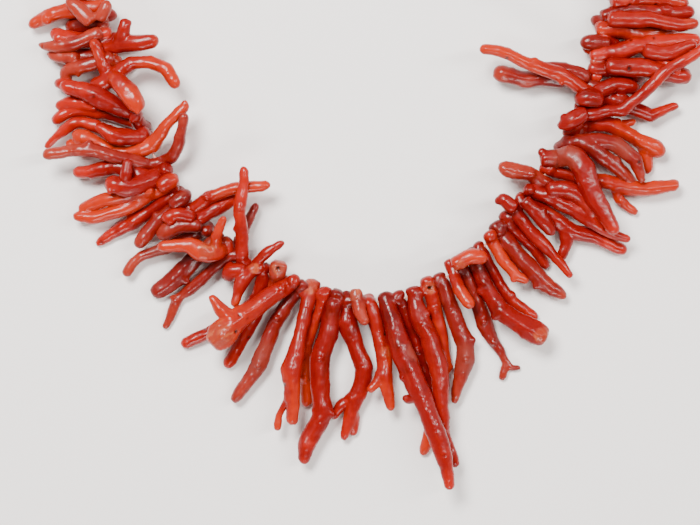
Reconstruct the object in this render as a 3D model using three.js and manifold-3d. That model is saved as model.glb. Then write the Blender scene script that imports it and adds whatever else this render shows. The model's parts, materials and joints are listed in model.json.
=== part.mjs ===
// A necklace of natural red coral branches, strung side by side on one thread and laid flat in a loop.
// Sizes are in millimetres. +Z is up from the table, and +Y runs from the front of the loop to the clasp.
// Places are measured from the thread's lowest point in front, and the whole is centred at the end.

import * as THREE from "three";
import { mergeVertices } from "three/addons/utils/BufferGeometryUtils.js";
import Module from "manifold-3d";

const wasm = await Module();
wasm.setup();

const THREAD_RADIUS = 0.3;
const THREAD_SIDES = 4;
const THREAD_STEP = 6;
const THREAD_SEARCH_STEPS = 600;
const BORE_RADIUS = 0.75;
const BORE_SIDES = 4;
const BORE_OVERRUN = 1;

// How a limb is faceted: its sides, how closely its rings fit its line, and the end of its tip as
// [share of the radius, reach past the last ring]. A share of 0 is a point.
const STEM = { sides: 5, fit: 0.58, end: [0.6, 0.7] };
const BLUNT_STEM = { ...STEM, end: [0.85, 0.2] };
const SPRIG_STEM = { sides: 4, fit: 0.9, end: [0, 1] };
const CLEARANCE = 0.32;
const DRILLED_END = 1.7;
const END_DROP = 1;
const CONTACT_FLAT = 0.12;
// How finely the length of the thread's curve, and of a limb's, is measured.
const THREAD_DIVISIONS = 2000;
const LIMB_DIVISIONS = 400;
const LEAST_NORMAL = 0.2; // a ring's normal shorter than this is taken afresh, where the limb stands on end
const SAMPLE_STEP = 1;
const HELD_REACH = 0.6;
const ROOT_REACH = 2.6;
const PASSES = 400;
const STIFFNESS = 0.3;
const PULL = 0.02;

const BRANCH_PITCH = 3.5;
const SPRIG_PITCH = 4.7;
const SPRIG_START = 0.85;
const SHORT_SPRIG = 10;
const LONG_SPRIG = 36;
const SPRIG_LEAN = 0.22;
const SPRIG_BOW = 0.05; // how far its middle stands aside from the straight line, as a share of its length
const SPRIG_RADII = [1.25, 1.45, 1.05]; // at the thread, the middle and the tip
const LENGTH_SWING = 0.22; // how much longer or shorter than usual a sprig gets, as a share
const RADIUS_SWING = 0.15; // how much its middle radius varies
// How fast each varies along the strand, in radians from one sprig to the next, so that none repeats.
const LENGTH_BEAT = 2.3;
const LEAN_BEAT = 1.9;
const RADIUS_BEAT = 3.1;
const SPRIG_TIPS = [0, 4, 0, 6, 2];
const INSIDE_SHARE = 0.7;
const ROOTS_RADIUS = 1.3;
const ROOTS_SIDES = 4;
const ROOTS_BORE = 0.72;
const ROOTS_PAST = 1.3;

const CLASP_CENTRE = [-7, 146, 2.1];
const CLASP_HALF = 7;
const CLASP_CLEARANCE = 7;
const CLASP_SIDES = 8;
// The clasp half's outline as [radius, distance from its eye], from the bottom of the blind hole round to
// the middle.
const CLASP_OUTLINE = [
  [0, 2.4], [0.8, 2.4], [0.8, 0], [1.3, 0], [1.3, 0.9], [1.9, 1.7], [2.35, 3.4], [2.35, 6.85], [0, 6.85],
];

const TABLE_SIZE = 600;
const TABLE_DEPTH = 5;

const CORAL_RED = 0xc5281c;
const CORAL_ORANGE = 0xe2451f;
const CORAL_ROSE = 0xb4322f;
const polishedCoral = (color) => ({ color, roughness: 0.25, metalness: 0 });
const GILT = { color: 0xd8b25a, roughness: 0.3, metalness: 1 };
const SILK = { color: 0xf2e6dc, roughness: 0.8, metalness: 0 };

// The thread's route, from the clasp's left half down round the front and up to its right half.
const THREAD_ROUTE = [
  [-12.5, 146, 2.1],
  [-24, 144.5, 3.8],
  [-40, 139, 4.6],
  [-54, 129.5, 4.6],
  [-64.5, 117, 4.6],
  [-71, 102, 4.6],
  [-73, 88, 4.6],
  [-71, 75, 4.6],
  [-67.5, 61, 4.6],
  [-61, 46, 4.6],
  [-53.5, 31, 4.6],
  [-42, 16.5, 4.6],
  [-26, 6, 4.6],
  [-9, 0.5, 4.6],
  [0, 0, 4.6],
  [9, 2, 4.6],
  [22.5, 10.5, 4.6],
  [33, 22, 4.6],
  [45, 37, 4.6],
  [52, 51, 4.6],
  [56, 66, 4.6],
  [59, 82, 4.6],
  [59, 98, 4.6],
  [53.5, 113, 4.6],
  [43.5, 127, 4.6],
  [29, 138, 4.6],
  [10, 144.5, 3.8],
  [-1.5, 146, 2.1],
];

// Each branch: its route from the thread to its tip as [x, y, radius], the height of its tip, its colour,
// how far its drilled end passes the thread, and the forks that grow from it. A route point may end in a
// height.
// They are listed in the order in which they are strung, from the left of the loop to the right.
const BRANCHES = [
  {
    name: "branch_left_01",
    colour: CORAL_ORANGE,
    tip: 7.4,
    end: 3,
    route: [
      [-66, 57, 1.5, 5.2], [-62, 59.5, 1.7, 7], [-57.5, 60.25, 1.7], [-53.5, 58.5, 1.5],
      [-50.75, 54, 1.3],
    ],
    forks: [
      { from: 0.05, tip: 6.4, route: [[-69.75, 60.5, 1.4], [-71.25, 64.75, 1.2]] },
      { from: 0.12, tip: 8.9, route: [[-65.25, 55, 1.9, 9.5], [-62.25, 52, 2.3], [-60, 49, 2]] },
    ],
  },
  {
    name: "branch_left_02",
    colour: CORAL_RED,
    tip: 6.4,
    route: [[-61.5, 47.3, 1.4], [-65.5, 48.75, 2], [-70, 51, 2.2], [-74.5, 53, 2.1], [-78, 54, 1.6]],
  },
  {
    name: "branch_left_03",
    colour: CORAL_RED,
    tip: 1.4,
    route: [
      [-60.25, 44.5, 1.4], [-65.5, 46.5, 1.5], [-70.5, 48, 1.6], [-76, 48.5, 1.7], [-81.5, 46, 1.4],
    ],
  },
  {
    name: "branch_left_04",
    colour: CORAL_RED,
    tip: 6.9,
    route: [[-58.75, 41.5, 1.4], [-63, 41, 1.8], [-66.75, 41.5, 1.8], [-70.5, 43.5, 0.9]],
  },
  {
    name: "branch_left_05",
    colour: CORAL_ORANGE,
    tip: 2.4,
    route: [
      [-57.5, 38.5, 1.3], [-61.75, 37.25, 1.4], [-66.75, 37.5, 1.5], [-72, 39.25, 1.8],
      [-78.25, 39.75, 1.2],
    ],
    forks: [{ from: 0.04, tip: 8.9, route: [
      [-54.5, 42.25, 1.5], [-51.5, 46, 1.4], [-48.75, 48.5, 1.2],
    ] }],
  },
  {
    name: "branch_left_06",
    colour: CORAL_ROSE,
    tip: 8.4,
    end: 3.5,
    route: [[-55.5, 35.25, 1.3], [-52.5, 36, 1.3], [-50.25, 39, 1.3], [-49, 43, 1.2], [-48.5, 46, 1.1]],
    forks: [{ from: 0.04, tip: 7.4, route: [
      [-59.5, 34.5, 1.6], [-64, 35.5, 1.6], [-69, 37, 1.5], [-75.5, 38, 1.5], [-82.5, 36.75, 1.3],
    ] }],
  },
  {
    name: "branch_left_07",
    colour: CORAL_RED,
    tip: 7.4,
    route: [[-54.25, 32.25, 1.5], [-58, 30, 2.1], [-62.5, 28.75, 2.2], [-66.75, 29.5, 2]],
    forks: [{ from: 0.72, tip: 10.4, route: [[-63.25, 32, 1.2], [-63, 34.75, 0.9]] }],
  },
  {
    name: "branch_left_08",
    colour: CORAL_ORANGE,
    tip: 3.4,
    route: [
      [-52.75, 29.5, 1.4], [-58, 26.5, 1.5], [-63, 24.5, 1.8], [-67.5, 22.5, 1.8], [-72, 21.25, 1.6],
      [-75.75, 21.5, 1.1],
    ],
  },
  {
    name: "branch_left_09",
    colour: CORAL_RED,
    tip: 0,
    route: [
      [-51.25, 27, 1.3], [-56.25, 23.75, 1.4], [-61.25, 20.25, 1.6], [-66.25, 17.5, 1.5],
      [-70.5, 15.25, 1.1],
    ],
  },
  {
    name: "branch_left_10",
    colour: CORAL_ROSE,
    tip: 3.9,
    route: [[-49.75, 24.75, 1.4], [-54, 22.25, 1.6], [-57.25, 18.75, 1.7], [-60.25, 14.75, 1.5]],
  },
  {
    name: "branch_left_11",
    colour: CORAL_ORANGE,
    tip: 6.4,
    end: 3.5,
    route: [
      [-48, 22.5, 1.4], [-45, 25, 1.5], [-39.5, 27.5, 1.3], [-33.75, 28.75, 1.2], [-28.25, 29.25, 1.1],
    ],
  },
  {
    name: "branch_left_12",
    colour: CORAL_RED,
    tip: 2.9,
    end: 4,
    route: [[-46, 20.25, 1.4], [-43, 22, 1.6], [-39.5, 24.25, 1.5], [-35.5, 26.25, 1.3]],
  },
  {
    name: "branch_left_13",
    colour: CORAL_ROSE,
    tip: 1.9,
    route: [
      [-43.75, 18, 1.3], [-48.25, 15.75, 1.4], [-53.75, 13.75, 1.3], [-58.75, 12, 1.3],
      [-62.25, 9.75, 1.2], [-63.5, 7.25, 1],
    ],
  },
  {
    name: "branch_left_14",
    colour: CORAL_ROSE,
    tip: 0,
    route: [
      [-41.5, 15.75, 1.3], [-45, 12.5, 1.6], [-48.25, 9, 2.2], [-51.5, 5.5, 2.2], [-55.75, 2.5, 2],
    ],
  },
  {
    name: "branch_left_15",
    colour: CORAL_ORANGE,
    tip: 8.4,
    route: [
      [-39, 13.75, 1.4, 5.4], [-41.5, 12.25, 2, 8], [-44.75, 12.5, 2.2, 9.2], [-49, 14.25, 1.5],
      [-54.25, 14, 1],
    ],
    forks: [{ from: 0.3, tip: 11.4, route: [[-41, 16.5, 1], [-38.75, 20.5, 0.8]] }],
  },
  {
    name: "branch_left_16",
    colour: CORAL_ROSE,
    tip: 0,
    route: [
      [-37, 12, 1.2], [-41, 8.5, 1.3], [-45.25, 5, 1.3], [-49.25, 2, 1.3], [-52.25, -1.25, 1.2],
      [-54, -6, 1],
    ],
    forks: [{ from: 0.04, tip: 1.9, route: [
      [-34.5, 16.5, 1.2], [-32.75, 20.5, 1.2], [-31.5, 24.5, 1],
    ] }],
  },
  {
    name: "branch_left_17",
    colour: CORAL_RED,
    tip: 9.4,
    route: [
      [-34.75, 10.75, 1.4], [-34.25, 15, 1.6], [-34.25, 19.5, 1.5], [-35, 23.75, 1.4],
      [-34.5, 28, 1.2], [-33.5, 33, 1.1],
    ],
  },
  {
    name: "branch_left_18",
    colour: CORAL_ORANGE,
    tip: 5.9,
    route: [[-31.75, 9, 1.3], [-34, 5.75, 1.6], [-34.75, 2.5, 1.4], [-36, -0.5, 1]],
    forks: [{ from: 0.04, tip: 6.9, route: [[-29, 12.25, 1.1], [-24.25, 15, 0.9]] }],
  },
  {
    name: "branch_left_19",
    colour: CORAL_RED,
    tip: 0,
    route: [
      [-29.25, 7.75, 1.4], [-30.25, 2.5, 1.6], [-31.5, -3, 1.8], [-33.75, -7.5, 1.7],
      [-36.25, -12, 1.6], [-38.5, -16, 1.5],
    ],
    forks: [{ from: 0.35, tip: 0, route: [[-40, -6.5, 1.5], [-45, -8.5, 1.5], [-49, -10.75, 1.3]] }],
  },
  {
    name: "branch_left_20",
    colour: CORAL_ROSE,
    tip: 6.9,
    blunt: true,
    end: 3,
    route: [[-25.75, 6, 1.7, 4.6], [-25.5, 7.5, 2.1, 7], [-25.25, 9.5, 2.2]],
  },
  {
    name: "branch_left_21",
    colour: CORAL_ORANGE,
    tip: 7.4,
    route: [
      [-22.25, 4.75, 1.3, 5], [-27, 1.5, 1.9, 7.2], [-30.75, -0.75, 2.3, 8], [-34.25, -3, 2.5],
      [-37.5, -5.5, 3.2], [-39.75, -8.5, 3.8],
    ],
    forks: [{ from: 0.74, tip: 10.4, route: [[-39.75, -1.75, 1.6], [-41.75, 0.75, 0.9]] }],
  },
  {
    name: "branch_front_01",
    colour: CORAL_ROSE,
    tip: 1.4,
    route: [
      [-20, 3.75, 1.3], [-24, -1.5, 1.6], [-26.5, -6.5, 1.6], [-28.25, -11.5, 2.2], [-30.25, -16, 2.1],
      [-33, -20.5, 1.7], [-36, -24.25, 1.2],
    ],
  },
  {
    name: "branch_front_02",
    colour: CORAL_ORANGE,
    tip: 5.9,
    end: 2.6,
    route: [
      [-17, 2.75, 1.6], [-18.25, -1.75, 1.3], [-20, -7, 1.3], [-20.75, -12, 1.9], [-22.25, -17, 2.4],
      [-22.25, -22, 2.3], [-21.5, -26.25, 1.7], [-21.75, -29.75, 1.4],
    ],
    forks: [{ from: 0.75, tip: 4.4, route: [
      [-24.5, -25.5, 0.8], [-25.5, -29, 0.7], [-25.5, -32, 0.8],
    ] }],
  },
  {
    name: "branch_front_03",
    colour: CORAL_ORANGE,
    tip: 0,
    route: [
      [-14, 1.75, 1.2], [-16, -3.75, 1.3], [-17.5, -9.5, 1.3], [-18.5, -15.5, 1.3],
      [-18.5, -21.25, 1.3], [-18, -25.25, 1.2],
    ],
  },
  {
    name: "branch_front_04",
    colour: CORAL_RED,
    tip: 2.9,
    route: [
      [-11.25, 1, 1.4], [-12.5, -4.5, 2.1], [-14.25, -10, 2.3], [-15.25, -15.5, 2.4],
      [-15, -21.25, 2.3], [-14.25, -27, 2.4], [-16, -32.5, 2.2], [-18.25, -36.25, 1.9],
      [-19, -39.75, 1.2],
    ],
  },
  {
    name: "branch_front_05",
    colour: CORAL_RED,
    tip: 1.6,
    route: [
      [-8.5, 0.5, 1.3], [-8, -5, 2], [-5.75, -10.5, 2.1], [-4, -15.5, 2.3], [-4.25, -20.25, 2.1],
      [-5.75, -24.5, 2], [-7.5, -28.75, 1.2], [-9, -34, 0.9],
    ],
    forks: [
      { from: 0.7, tip: 1.4, route: [[-8.5, -25, 1.2], [-11.25, -28.25, 1.1]] },
      { from: 0.78, tip: 0, route: [[-5.75, -29, 1.1], [-6.5, -32.75, 1]] },
    ],
  },
  {
    name: "branch_front_06",
    colour: CORAL_ROSE,
    tip: 7.4,
    end: 3,
    route: [[-5.75, 0.25, 1.4], [-5, -2.5, 1.4], [-3.75, -5, 0.9]],
  },
  {
    name: "branch_front_07",
    colour: CORAL_ORANGE,
    tip: 3.9,
    route: [
      [-2.5, 0, 1.4], [-1.25, -4.5, 1.6], [0.5, -9, 1.8], [1, -13.5, 1.8], [1, -18, 1.8],
      [2, -22, 1.5], [3, -26.25, 1.1],
    ],
    forks: [{ from: 0.68, tip: 5.4, route: [[-1, -20.25, 1.2], [-2.25, -21.75, 1]] }],
  },
  {
    name: "branch_front_08",
    colour: CORAL_RED,
    tip: 7.9,
    route: [
      [1.25, 0, 1.5], [3, -5.5, 2.1], [5.5, -11.5, 2.3], [8, -17.5, 2.5], [10, -23, 2.4],
      [12.5, -29, 2.2], [14.5, -35, 2.1], [16.25, -40.5, 1.8], [17.25, -45.75, 1.1],
    ],
    forks: [{ from: 0.52, tip: 5.4, route: [[7, -24.25, 0.9]] }],
  },
  {
    name: "branch_front_09",
    colour: CORAL_RED,
    tip: 0,
    route: [
      [4.75, 0.75, 1.2], [7, -5.5, 1.4], [9.5, -12.5, 1.4], [11.5, -18.75, 1.3], [13, -24.5, 1.1],
    ],
  },
  {
    name: "branch_front_10",
    colour: CORAL_ORANGE,
    tip: 3.9,
    route: [
      [8.25, 1.75, 1.5], [9.5, -3, 2.1], [11.75, -8, 2.3], [14, -13, 2.3], [15.25, -18, 2.2],
      [15.75, -23.5, 2], [15.5, -28.75, 1.8], [16.75, -34.5, 1.2], [19, -40.5, 1],
    ],
  },
  {
    name: "branch_front_11",
    colour: CORAL_ORANGE,
    tip: 0,
    end: 2.3,
    route: [
      [12.25, 3.25, 1.5], [14, -1.5, 1.4], [15, -8.75, 1.4], [16, -16.25, 1.4], [15, -23.75, 1.4],
      [13.25, -31.25, 1.4], [11.25, -38, 1.2],
    ],
  },
  {
    name: "branch_front_12",
    colour: CORAL_ROSE,
    tip: 2,
    route: [
      [15.75, 5, 1.6], [17.5, 0.5, 1.9], [19.5, -4.5, 2.1], [21.25, -9.5, 2.2], [21.5, -13.75, 2.2],
      [20.5, -18.5, 1.8], [19, -25, 0.8],
    ],
  },
  {
    name: "branch_right_01",
    colour: CORAL_ORANGE,
    tip: 7.9,
    end: 3.2,
    route: [[18.5, 7, 1.1], [19.5, 4, 1.3], [20.75, 1.75, 1.4], [22, -0.5, 1.2]],
  },
  {
    name: "branch_right_02",
    colour: CORAL_ROSE,
    tip: 0,
    route: [
      [20.75, 8.75, 1.2], [22.75, 4, 1.4], [24.25, -0.5, 1.6], [26, -5, 2], [27.5, -8.75, 1.6],
      [29.75, -12.5, 1.1], [32, -15.75, 0.9], [31.25, -19.25, 0.9],
    ],
    forks: [{ from: 0.86, tip: 0, route: [[33.5, -17, 0.8], [35, -16.75, 0.8]] }],
  },
  {
    name: "branch_right_03",
    colour: CORAL_RED,
    tip: 3.9,
    blunt: true,
    route: [
      [23.25, 11, 1.3], [25.5, 5.75, 1.5], [27.75, 1.75, 1.7], [30.75, -2.25, 2.2], [34.5, -5.25, 2.6],
      [38, -7.25, 2.9], [40.75, -8.5, 2.5],
    ],
  },
  {
    name: "branch_right_04",
    colour: CORAL_RED,
    tip: 0,
    route: [
      [25.5, 13.25, 1.3], [28.25, 8.75, 1.4], [30.5, 4.75, 1.3], [32.5, 1, 1.3], [35.5, -1.5, 1.3],
      [39, -3.5, 1.2],
    ],
  },
  {
    name: "branch_right_05",
    colour: CORAL_ORANGE,
    tip: 4.9,
    route: [
      [27.75, 15.75, 1.4], [29.75, 12, 1.5], [31.75, 8.75, 1.3], [34, 6.25, 1.1], [36.75, 4.75, 0.9],
    ],
  },
  {
    name: "branch_right_06",
    colour: CORAL_ROSE,
    tip: 1.9,
    route: [
      [29.75, 18.25, 1.5], [32.25, 14.75, 1.8], [35.25, 11.25, 1.8], [38.25, 7.5, 1.7],
      [41, 4.75, 2.1], [43.5, 3, 1.7], [45.5, 1.75, 1.3],
    ],
  },
  {
    name: "branch_right_07",
    colour: CORAL_RED,
    tip: 0,
    route: [
      [31.75, 20.5, 1.3], [34.75, 17, 1.5], [37.75, 14.5, 1.5], [40, 11.75, 1.5], [42, 8.75, 1.3],
    ],
  },
  {
    name: "branch_right_08",
    colour: CORAL_RED,
    tip: 4.9,
    end: 3.4,
    route: [
      [33.75, 23, 1.3], [36.25, 19.75, 1.5], [38.75, 16.5, 1.5], [41.75, 13, 1.3], [45, 10, 1.1],
      [48, 7, 0.9],
    ],
  },
  {
    name: "branch_right_09",
    colour: CORAL_RED,
    tip: 1.4,
    route: [
      [35.75, 25.5, 1.4], [40.25, 23, 1.7], [44, 21, 1.7], [47.5, 18.25, 1.9], [52, 16.25, 1.6],
      [56.5, 15, 1.5], [61.25, 13.25, 1.2],
    ],
    forks: [{ from: 0.45, tip: 1.4, route: [[47, 14.75, 1.4], [45.5, 11.75, 1.2]] }],
  },
  {
    name: "branch_right_10",
    colour: CORAL_RED,
    tip: 4.4,
    route: [
      [38, 28, 1.4], [42.75, 26, 1.6], [47, 24.25, 1.7], [50.75, 22, 1.7], [54.25, 19.5, 1.7],
      [58.25, 17.5, 1.6], [62, 15.75, 1.1],
    ],
  },
  {
    name: "branch_right_11",
    colour: CORAL_ROSE,
    tip: 6.4,
    end: 3.4,
    route: [[40.25, 30.75, 1.6], [37.25, 32.25, 1.7], [34, 33, 1.7], [30.75, 33.75, 1.9]],
  },
  {
    name: "branch_right_12",
    colour: CORAL_ORANGE,
    tip: 2.4,
    route: [
      [42.5, 33.5, 1.4], [48.5, 31.5, 1.5], [53.75, 30.25, 1.6], [60, 29, 1.7], [67, 28.5, 1.7],
      [74, 29.75, 1.4],
    ],
    forks: [{ from: 0.52, tip: 0, route: [[61, 25.25, 1.1], [63.75, 23, 1.1]] }],
  },
  {
    name: "branch_right_13",
    colour: CORAL_RED,
    tip: 8.4,
    end: 4,
    route: [
      [44.5, 36.25, 1.7, 5], [48.25, 36.25, 2.4, 7.8], [50.75, 32.75, 2.4, 9], [52.25, 28, 2.2],
      [54.75, 23, 2], [58, 18.5, 1.5],
    ],
  },
  {
    name: "branch_right_14",
    colour: CORAL_ROSE,
    tip: 5.4,
    route: [
      [46.25, 39.5, 1.4], [50.75, 40.5, 1.6], [55.75, 40.5, 1.8], [60.5, 38.75, 2], [64.25, 35.5, 1.8],
      [65.5, 31, 1.1],
    ],
  },
  {
    name: "branch_right_15",
    colour: CORAL_ORANGE,
    tip: 1.9,
    route: [
      [48, 43, 1.4], [53.5, 45, 1.7], [58.75, 44.25, 1.8], [63.25, 41.75, 1.9], [67, 39.5, 2],
      [70.5, 37.5, 1.1],
    ],
    forks: [
      { from: 0.5, tip: 2.4, route: [[62, 45, 1], [64, 45.5, 0.8]] },
      { from: 0.8, tip: 0, route: [[67.5, 36.25, 1.3], [68, 33.25, 0.9]] },
    ],
  },
  {
    name: "branch_right_16",
    colour: CORAL_RED,
    tip: 7.9,
    route: [
      [49.5, 46, 1.3], [54.5, 47.5, 1.3], [59.25, 47.5, 1.3], [62.25, 49.25, 1.3], [66.25, 53.25, 1.2],
      [70.5, 57.25, 1.3], [75.5, 60, 1.3], [79.75, 63, 1.1],
    ],
  },
  {
    name: "branch_right_17",
    colour: CORAL_RED,
    tip: 2.4,
    route: [
      [51, 49, 1.4], [56.25, 51, 1.7], [60.5, 50.25, 1.8], [65, 48, 1.7], [68.75, 46.75, 1.6],
      [71, 48, 1], [74.5, 49.5, 0.9],
    ],
  },
  {
    name: "branch_right_18",
    colour: CORAL_ORANGE,
    tip: 8.4,
    route: [
      [52.25, 52, 1.3], [48.75, 54.75, 1.4], [44.5, 56.75, 1.5], [39.5, 58, 1.5], [35, 59.75, 1.4],
      [31, 61.75, 1.4], [26, 62.75, 1.2],
    ],
  },
  {
    name: "branch_right_19",
    colour: CORAL_ROSE,
    tip: 2.4,
    end: 3.6,
    route: [
      [53.2, 54.8, 1.25], [49.25, 56, 1.6], [44.5, 56.25, 1.8], [38.75, 56, 2], [33.75, 56.5, 2.3],
      [30.25, 57.5, 2.1],
    ],
  },
];

// The sprigs of the upper strand whose place is known, in order from each end of that row.
const LEFT_SPRIGS = [
  { tip: 1.4, route: [[-67, 60.3, 1.3], [-70.5, 61.5, 1.5], [-75, 61.75, 1.5], [-80, 60.5, 1.3]] },
  {
    tip: 7.4,
    route: [[-68, 63.6, 1.3], [-64, 64.5, 1.4], [-60, 64.75, 1.4], [-55.5, 65.25, 1.2]],
    forks: [{ from: 0.3, tip: 8.4, route: [[-64, 67, 1.2], [-63, 70.5, 1]] }],
  },
  { tip: 4.4, route: [[-69, 67, 1.3], [-73, 65.75, 1.4], [-78, 66, 1.5], [-82.5, 67.75, 1.2]] },
  { tip: 0, route: [[-69.7, 70.3, 1.4], [-74, 69.75, 1.8], [-79, 69.25, 1.7]] },
  { tip: 2.4, route: [[-70.4, 73.7, 1.3], [-75, 73.5, 1.5], [-82.5, 72.25, 1.4], [-88.25, 69.25, 1]] },
];
const RIGHT_SPRIGS = [
  { tip: 1.4, route: [[54.2, 58.3, 1.3], [59, 58.5, 1.7], [62, 58.25, 1.8], [66.25, 56.5, 1.5]] },
  {
    tip: 4.4,
    end: 2.6,
    route: [[55, 61.7, 1.4], [60, 62.75, 1.6], [65, 64.25, 1.7], [72.5, 64.75, 1.6], [80, 65, 1.3]],
  },
  { tip: 5.4, end: 2.5, route: [[55.7, 65, 1.3], [53, 65, 1.3], [50.25, 64.75, 1.2]] },
  { tip: 0, route: [
    [56.4, 68.4, 1.4], [60, 68.75, 1.7], [66.25, 67.25, 1.7], [71.25, 68.5, 1.5], [77.5, 71.25, 1.2],
  ] },
  { tip: 3.4, route: [[57.1, 71.8, 1.4], [62, 73.25, 1.6], [70, 72.5, 1.7], [79, 72.5, 1.4]] },
];

const toPoint = ([x, y, , z]) => new THREE.Vector3(x, y, z ?? NaN);
// How high a limb's line is above the table where one of its flats rests on it.
const restingHeight = (radius, { sides }) => radius * Math.cos(Math.PI / sides) - CONTACT_FLAT;
const levelDistance = (a, b) => Math.hypot(a.x - b.x, a.y - b.y);

// The solid inside a closed geometry, with its shared corners merged and its faces of no area left out.
function solidFrom(geometry) {
  const bare = geometry.clone();
  bare.deleteAttribute("normal");
  bare.deleteAttribute("uv");
  const merged = mergeVertices(bare, 1e-4);
  const corners = merged.index.array;
  const faces = [];
  for (let i = 0; i < corners.length; i += 3) {
    const [a, b, c] = corners.slice(i, i + 3);
    if (a !== b && b !== c && a !== c) faces.push(a, b, c);
  }
  const vertProperties = merged.attributes.position.array;
  return new wasm.Manifold(new wasm.Mesh({ numProp: 3, vertProperties, triVerts: new Uint32Array(faces) }));
}

function meshFrom(solid, name, finish) {
  const { vertProperties, triVerts } = solid.getMesh();
  const geometry = new THREE.BufferGeometry();
  geometry.setAttribute("position", new THREE.BufferAttribute(vertProperties, 3));
  geometry.setIndex(new THREE.BufferAttribute(triVerts, 1));
  geometry.computeVertexNormals();
  const mesh = new THREE.Mesh(geometry, new THREE.MeshStandardMaterial(finish));
  mesh.name = name;
  return mesh;
}

const threadCurve = new THREE.CatmullRomCurve3(THREAD_ROUTE.map(([x, y, z]) => new THREE.Vector3(x, y, z)));
threadCurve.arcLengthDivisions = THREAD_DIVISIONS;
const threadLength = threadCurve.getLength();

// The place on the thread that is nearest to x, y, as a share of its length.
function threadShareNear([x, y]) {
  const target = new THREE.Vector3(x, y, 0);
  const shares = Array.from({ length: THREAD_SEARCH_STEPS + 1 }, (_, i) => i / THREAD_SEARCH_STEPS);
  const distances = shares.map((share) => levelDistance(threadCurve.getPointAt(share), target));
  return shares[distances.indexOf(Math.min(...distances))];
}

// A limb is one swept length of coral: samples about a millimetre apart, each with its place and radius.
// The heights that its route leaves out level off towards the next one that it gives.
function sampleLimb(route) {
  const points = route.map(toPoint);
  const known = points.flatMap((point, i) => (Number.isNaN(point.z) ? [] : [i]));
  points.forEach((point, i) => {
    if (!Number.isNaN(point.z)) return;
    const after = known.find((k) => k > i);
    const before = known[known.indexOf(after) - 1];
    const share = (i - before) / (after - before);
    point.z = THREE.MathUtils.lerp(points[before].z, points[after].z, share * (2 - share));
  });
  const curve = new THREE.CatmullRomCurve3(points, false, "centripetal");
  curve.arcLengthDivisions = LIMB_DIVISIONS;
  const count = Math.max(3, Math.round(curve.getLength() / SAMPLE_STEP));
  return Array.from({ length: count + 1 }, (_, i) => {
    const place = curve.getUtoTmapping(i / count) * (points.length - 1);
    const before = Math.min(Math.floor(place), points.length - 2);
    const radius = THREE.MathUtils.lerp(route[before][2], route[before + 1][2], place - before);
    return { at: curve.getPoint(place / (points.length - 1)), radius, held: false };
  });
}

// A branch's main limb starts at its drilled end, just behind the thread, and its forks start on the main
// limb.
// A tip's height is what it leaves between its underside and the table.
function limbsOf({ route, tip, end = DRILLED_END, forks = [] }, stem = STEM) {
  const share = threadShareNear(route[0]);
  const root = threadCurve.getPointAt(share);
  const lead = toPoint(route[1]).setZ(0).sub(root.clone().setZ(0)).normalize();
  const behind = root.clone().addScaledVector(lead, -end);
  const drilled = [behind.x, behind.y, route[0][2], route[0][3] ? root.z - END_DROP : root.z];
  const atThread = [root.x, root.y, route[0][2], root.z];
  const tipPoint = ([x, y, radius], height) => [x, y, radius, height + restingHeight(radius, stem)];
  const main = sampleLimb([drilled, atThread, ...route.slice(1, -1), tipPoint(route.at(-1), tip)]);
  for (const sample of main) sample.held = levelDistance(sample.at, root) < HELD_REACH;
  const grown = forks.map(({ from, tip: forkTip, route: forkRoute }) => {
    const joint = Math.round(from * (main.length - 1));
    const start = main[joint].at;
    const first = [start.x, start.y, forkRoute[0][2], start.z];
    const last = tipPoint(forkRoute.at(-1), forkTip);
    return { joint, samples: sampleLimb([first, ...forkRoute.slice(0, -1), last]) };
  });
  return { share, root, main, forks: grown };
}

// Where samples of two branches lie over one another in plan, with the height that they need between them.
// The branch that starts higher there is the one on top.
function crossingsOf(some, others, gap) {
  const meeting = [];
  let lead = 0;
  for (const a of some) {
    for (const b of others) {
      const reach = a.radius + b.radius + gap;
      const apart = levelDistance(a.at, b.at);
      if (apart >= reach) continue;
      meeting.push({ a, b, need: Math.sqrt(reach * reach - apart * apart) });
      lead += a.at.z - b.at.z;
    }
  }
  return meeting.map(({ a, b, need }) => ({ over: lead >= 0 ? a : b, under: lead >= 0 ? b : a, need }));
}

// Each sample leans towards the mean of its neighbours, and a little towards the height it started with.
function smoothLimb(limb, wanted, ease) {
  for (let i = 0; i < limb.length; i++) {
    if (limb[i].held) continue;
    const before = limb[Math.max(i - 1, 0)].at.z;
    const after = limb[Math.min(i + 1, limb.length - 1)].at.z;
    const here = limb[i].at.z;
    limb[i].at.z += ease * (STIFFNESS * ((before + after) / 2 - here) + PULL * (wanted[i] - here));
  }
}

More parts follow.
